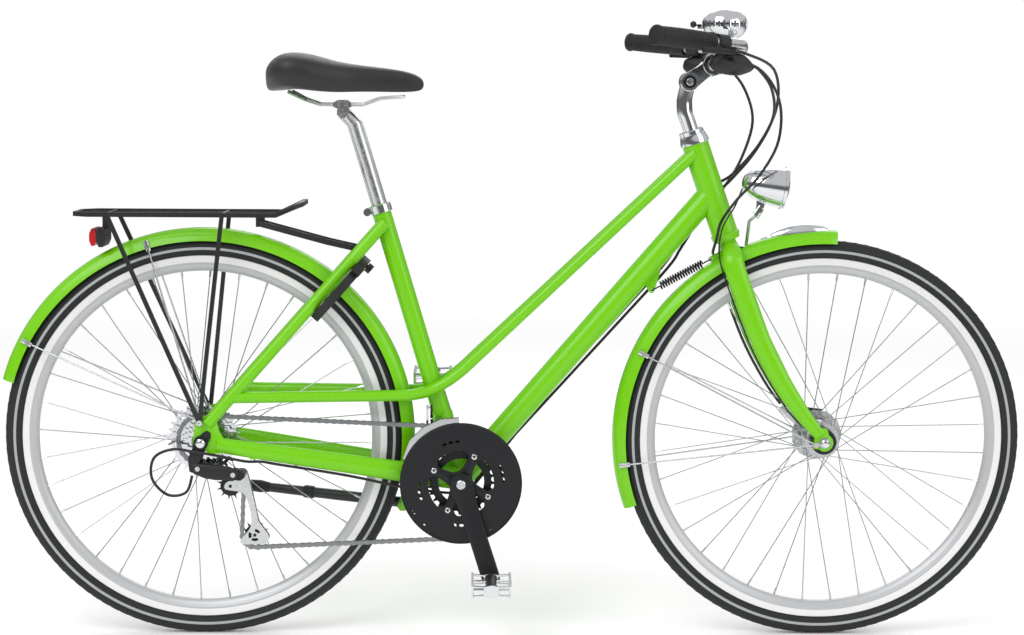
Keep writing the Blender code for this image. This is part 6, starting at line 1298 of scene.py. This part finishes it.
def makeEnds():
    front, rear = layout["frontAxle"], layout["rearAxle"]

    def stack(key, centre, side):
        return [
            turned(name, profile, centre, across * side, material, steps, 30)
            for name, material, steps, profile in ends[key]
        ]

    for side in (-1, 1):
        place(join("front_end", stack("front", front, side)), "steering")
        place(stack("dust", front, side)[0], "steering")
        if side > 0:
            arm = spline(sided(ends["brakeArm"], 1), 5)
            place(tube("brake_arm_cover", arm, [(0.0030, 0.0068)] * len(arm), "blackNylon", 16), "steering")
        screw = stack("screw", rear + Vector(ends["eyelet"]), side)
        place(join("rear_end", stack("rear", rear, side) + screw), "frame_body")


makeStem()
makeLamp()
makePods()
makeEnds()
print("stem, lamp and pods made")


# Each fender: centre, the sheet's start and end in degrees, the stays' eyelet from the axle, and their angles
fenderSets = {
    "rear": (layout["rearAxle"], (-11, 164), (-0.0017, 0.0649, 0.0347), (106, 151.5), "frame_body"),
    "front": (layout["frontAxle"], (86.5, 200), (-0.0145, 0.0586, -0.0035), (154.5, 187.5), "steering"),
}
for end, (centre, span, eyelet, angles, body) in fenderSets.items():
    things = [makeFender(end + "_fender_sheet", centre, *span)]
    things.append(stayWires(end + "_stays", centre, eyelet, [math.radians(a) for a in angles]))
    if end == "front":
        things.append(frontOrnament())
    place(join(end + "_fender_set", things), body, end + "_fender")
print("fenders made")

# Cables: round housings over the routes that the solids take, as radius and points
cableRoutes = {
    "rear_shift_cable": (
        0.0025,
        mm([
            (378, -204.3, 992.2), (392.7, -194, 990.7), (420, -165, 958), (432, -100, 910), (412, -25, 850),
            (377, 20, 800), (342, 34, 762), (292.9, 20.5, 683.1), (244.8, 13.6, 618.7), (3.7, 12.6, 351.5),
            (-79.8, -6, 249.8), (-99.8, -13, 249.8), (-141.1, -33.9, 257), (-190.5, -39.5, 264.9),
            (-289.2, -49.3, 287.4), (-407.7, -63.9, 309), (-434, -64.3, 313.6), (-461, -66.2, 314.2),
            (-492, -79, 322.5), (-520, -83.5, 329), (-552, -83.5, 334), (-586, -81.5, 337.5), (-618, -77.5, 322),
            (-622, -77, 286), (-596, -77, 258), (-564, -78, 262), (-554, -70, 290),
        ]),
    ),
    "front_shift_cable": (
        0.0025,
        mm([
            (378, 204.3, 992.2), (392.7, 194, 990.7), (417, 170, 955), (424, 110, 900), (400, 70, 835), (367, 45, 785),
            (334, 40, 748), (286.6, 23.5, 688.9), (239.2, 20.5, 623.8), (-1.4, 19.6, 356), (-76.8, 9, 249.8),
            (-103.8, 9, 251), (-119.8, 7, 268), (-131.8, 3, 301), (-137.8, -8, 344), (-143.3, -36, 383),
        ]),
    ),
    "rear_brake_cable": (
        0.0025,
        mm([
            (346, -224.9, 1017.4), (370.4, -207.7, 1014.9), (428, -130, 990), (444, -60, 930), (424, 0, 865),
            (382, 34, 810), (342, 38, 780), (279.3, 22.8, 695.5), (231.7, 23.6, 630.7), (-7.6, 23.2, 361.6),
            (-73.8, 30, 253.4), (-107.8, 40, 255.4), (-160.9, 44.6, 281.2), (-289.2, 60.3, 304.9), (-407.7, 73.4, 322),
            (-430, 73, 315), (-452, 64, 301),
        ]),
    ),
    "front_brake_cable": (
        0.0025,
        mm([
            (346, 224.9, 1017.4), (370.4, 207.7, 1014.9), (434, 130, 995), (462, 50, 940), (454, -15, 870),
            (420, -43, 812), (380, -44, 768), (354.5, -42, 731), (347.9, -32, 701.2), (344.1, -12, 678.7),
            (345.8, 6, 670.8), (351.9, 28, 656), (359.1, 44, 635.2), (403.2, 48.7, 520.3), (444.8, 51, 442.7),
            (473.8, 44, 402),
        ]),
    ),
    "lamp_wire": (
        0.0014,
        mm([
            (392.9, -10, 785.1), (377, -40, 756), (364, -52, 738), (354, -50, 715), (352.4, -30, 677.6),
            (360.5, -45.5, 635.7), (404.7, -49.1, 520.8), (446.5, -53, 443.3), (482.9, -52, 392.4), (520, -40, 361),
            (529.5, -41.5, 352.8),
        ]),
    ),
}


def makeCable(name, body):
    radius, route = cableRoutes[name]
    route = [Vector(p) for p in route]
    path = []
    for k, (start, end) in enumerate(zip(route, route[1:])):
        # Long straight runs along a tube keep their line, the rest is rounded
        skip = 6 if k > 0 else 0
        rounded = spline(route[max(0, k - 1):k + 3], 6)[skip:skip + 6]
        path += rounded if (end - start).length < 0.13 else [start.lerp(end, t / 6) for t in range(6)]
    path.append(route[-1])
    housing = tube(name + "_housing", path, radius, "cableJacket", 12)
    if body == "frame_body":
        # Still at the head tube, moving with the bar above it
        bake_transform(housing)
        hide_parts(name)
    else:
        place(housing, body, name)


for cableName in cableRoutes:
    makeCable(cableName, "steering" if cableName in ("front_brake_cable", "lamp_wire") else "frame_body")
print("cables made")


# Saddle: the cover's own form, rounded
def makeSaddle():
    bm = bmesh.new()
    bm.from_mesh(nodes["saddle"].data)
    bmesh.ops.remove_doubles(bm, verts=bm.verts, dist=1e-5)
    bmesh.ops.dissolve_limit(bm, angle_limit=math.radians(0.6), verts=bm.verts, edges=bm.edges)
    wide = math.radians(60)
    bmesh.ops.join_triangles(bm, faces=bm.faces, angle_face_threshold=wide, angle_shape_threshold=wide)
    saddle = newObject("saddle_cover", bm, "saddleVinyl", 0)
    saddle.data.shade_smooth()
    rounded = saddle.modifiers.new("rounded", "SUBSURF")
    rounded.levels = rounded.render_levels = 3
    saddle = place(addObject("saddle_cover", baked(saddle)), "seat_post", "saddle")


makeSaddle()
print("saddle made")

# The remaining solids keep their shape: doubles welded, round sides smoothed, a real finish on each
nodeFinish = {
    "limeEnamel": "frame fork",
    "blackPowder": "rack kickstand_leg bottom_bracket_unit",
    "chromePlate": "stem_arm stem_quill bell headlight_shell",
    "polishedAlloy": "handlebar rear_axle front_axle saddle_rails seat_post left_pedal right_pedal"
    " front_derailleur_cage stabiliser_spring",
    "platedSteel": "chain cassette derailleur_cage",
    "blackAnodised": "right_crank left_crank outer_chainring",
    "blackNylon": "chain_guard derailleur_hanger derailleur_inner_link derailleur_outer_link derailleur_knuckle"
    " front_derailleur_link guide_pulley tension_pulley left_control_bracket right_control_bracket left_brake_lever"
    " right_brake_lever left_shift_lever right_shift_lever ring_lock_body ring_lock_shackle rear_light_housing"
    " bell_lever",
    "gripRubber": "left_grip right_grip",
    "lampGlass": "headlight_lens",
    "redLens": "rear_light_lens",
    "saddleVinyl": "saddle",
    "tyreRubber": "rear_wheel_tyre front_wheel_tyre",
    "rimAlloy": "rear_wheel_rim front_wheel_rim",
    "spokeWire": "rear_wheel_hub front_wheel_hub",
    "cableJacket": "rear_shift_cable front_shift_cable rear_brake_cable front_brake_cable lamp_wire",
}


def smoothTree(degrees):
    # Smooth faces, with edges sharper than the angle kept crisp
    tree, given = openTree("smooth_%d" % degrees)
    merged = addNode(tree, "GeometryNodeMergeByDistance", None, Geometry=given[0], Distance=0.000002)
    angle = addNode(tree, "GeometryNodeInputMeshEdgeAngle")
    less = {"data_type": "FLOAT", "operation": "LESS_THAN"}
    soft = addNode(tree, "FunctionNodeCompare", less, i0=angle, i1=math.radians(degrees))
    faces = addNode(tree, "GeometryNodeSetShadeSmooth", {"domain": "FACE"}, Geometry=merged)
    edge = {"domain": "EDGE"}
    closeTree(tree, addNode(tree, "GeometryNodeSetShadeSmooth", edge, Geometry=faces, Shade_Smooth=soft))
    return tree


def dressNodes():
    tree = smoothTree(50)
    for material, names in nodeFinish.items():
        for name in names.split():
            node = nodes[name]
            node.data.materials.clear()
            node.data.materials.append(finish[material])
            useTree(node, tree)


dressNodes()
print("solids dressed")

# Camera at the photograph's place, pale floor, soft light
studio = {
    "camera": (-0.072, -3.84, 0.96), "aim": (-0.0042, 0.0, 0.5585), "lens": 77.87, "roll": 0.35,
    # Place, size and power of each lamp
    "lamps": {
        "key": ((-2.2, -3.0, 3.6), 3.0, 98), "fill": ((3.4, -2.4, 2.0), 2.6, 40), "back": ((0.4, 3.2, 3.0), 3.0, 45),
    },
    "sky": 0.66, "card": 0.22, "cardEdge": (0.10, 0.34), "floor": "#FFFFFF", "floorGlow": 0.05, "fade": (1.6, 5.5),
}


def makeCamera(scene):
    camera = addObject("camera", bpy.data.cameras.new("camera"))
    camera.location = studio["camera"]
    facing = (Vector(studio["aim"]) - camera.location).to_track_quat("-Z", "Y")
    roll = Matrix.Rotation(math.radians(studio["roll"]), 3, "Z").to_quaternion()
    camera.rotation_euler = (facing @ roll).to_euler()
    camera.data.lens = studio["lens"]
    scene.camera = camera


def makeLights(scene):
    for name, (where, size, power) in studio["lamps"].items():
        light = addObject(name, bpy.data.lights.new(name, "AREA"))
        light.data.size = size
        light.data.energy = power
        light.location = where
        light.rotation_euler = (Vector((0, 0, 0.5)) - light.location).to_track_quat("-Z", "Y").to_euler()
    world = bpy.data.worlds.new("studio")
    scene.world = world
    world.use_nodes = True
    tree = world.node_tree
    background = tree.nodes["Background"]
    background.inputs[0].default_value = (1, 1, 1, 1)
    rays = addNode(tree, "ShaderNodeLightPath").outputs
    seen = {"i0": rays["Is Camera Ray"], "i1": rays["Is Transmission Ray"]}
    seen = addNode(tree, "ShaderNodeMath", {"operation": "MAXIMUM"}, **seen)
    level = addNode(tree, "ShaderNodeMapRange", None, Value=seen, i3=studio["sky"], i4=1.0)
    # Polished metal sees black cards round the horizon, as on a photographer's table
    where = addNode(tree, "ShaderNodeTexCoord").outputs["Generated"]
    height = addNode(tree, "ShaderNodeSeparateXYZ", None, Vector=where).outputs["Z"]
    height = addNode(tree, "ShaderNodeMath", {"operation": "ABSOLUTE"}, i0=height)
    smooth = {"interpolation_type": "SMOOTHSTEP"}
    low, high = studio["cardEdge"]
    card = addNode(tree, "ShaderNodeMapRange", smooth, Value=height, i1=low, i2=high, i3=studio["card"], i4=1.0)
    dark = addNode(tree, "ShaderNodeMath", {"operation": "MULTIPLY"}, i0=level, i1=card)
    pick = addNode(tree, "ShaderNodeMix", {"data_type": "FLOAT"}, i0=rays["Is Glossy Ray"], i2=level, i3=dark)
    tree.links.new(pick.outputs[0], background.inputs[1])


def makeFloor():
    bm = bmesh.new()
    bm.faces.new([bm.verts.new((7 * math.cos(a), 7 * math.sin(a), -0.0002)) for a in around(96)])
    glow = {"Emission Color": (1, 1, 1, 1), "Emission Strength": studio["floorGlow"]}
    finish["floor"], tree, shader = newMaterial("matt_studio_floor", studio["floor"], 0.9, 0.0, glow)
    # It fades out towards its edge
    where = addNode(tree, "ShaderNodeTexCoord").outputs["Object"]
    away = addNode(tree, "ShaderNodeVectorMath", {"operation": "LENGTH"}, i0=where).outputs["Value"]
    low, high = studio["fade"]
    fade = addNode(tree, "ShaderNodeMapRange", None, Value=away, i1=low, i2=high, i3=1.0, i4=0.0)
    tree.links.new(fade.outputs[0], shader.inputs["Alpha"])
    newObject("floor", bm, "floor", 0)


def makeStudio():
    scene = bpy.context.scene
    makeCamera(scene)
    makeLights(scene)
    makeFloor()
    scene.view_settings.view_transform = "Standard"


makeStudio()
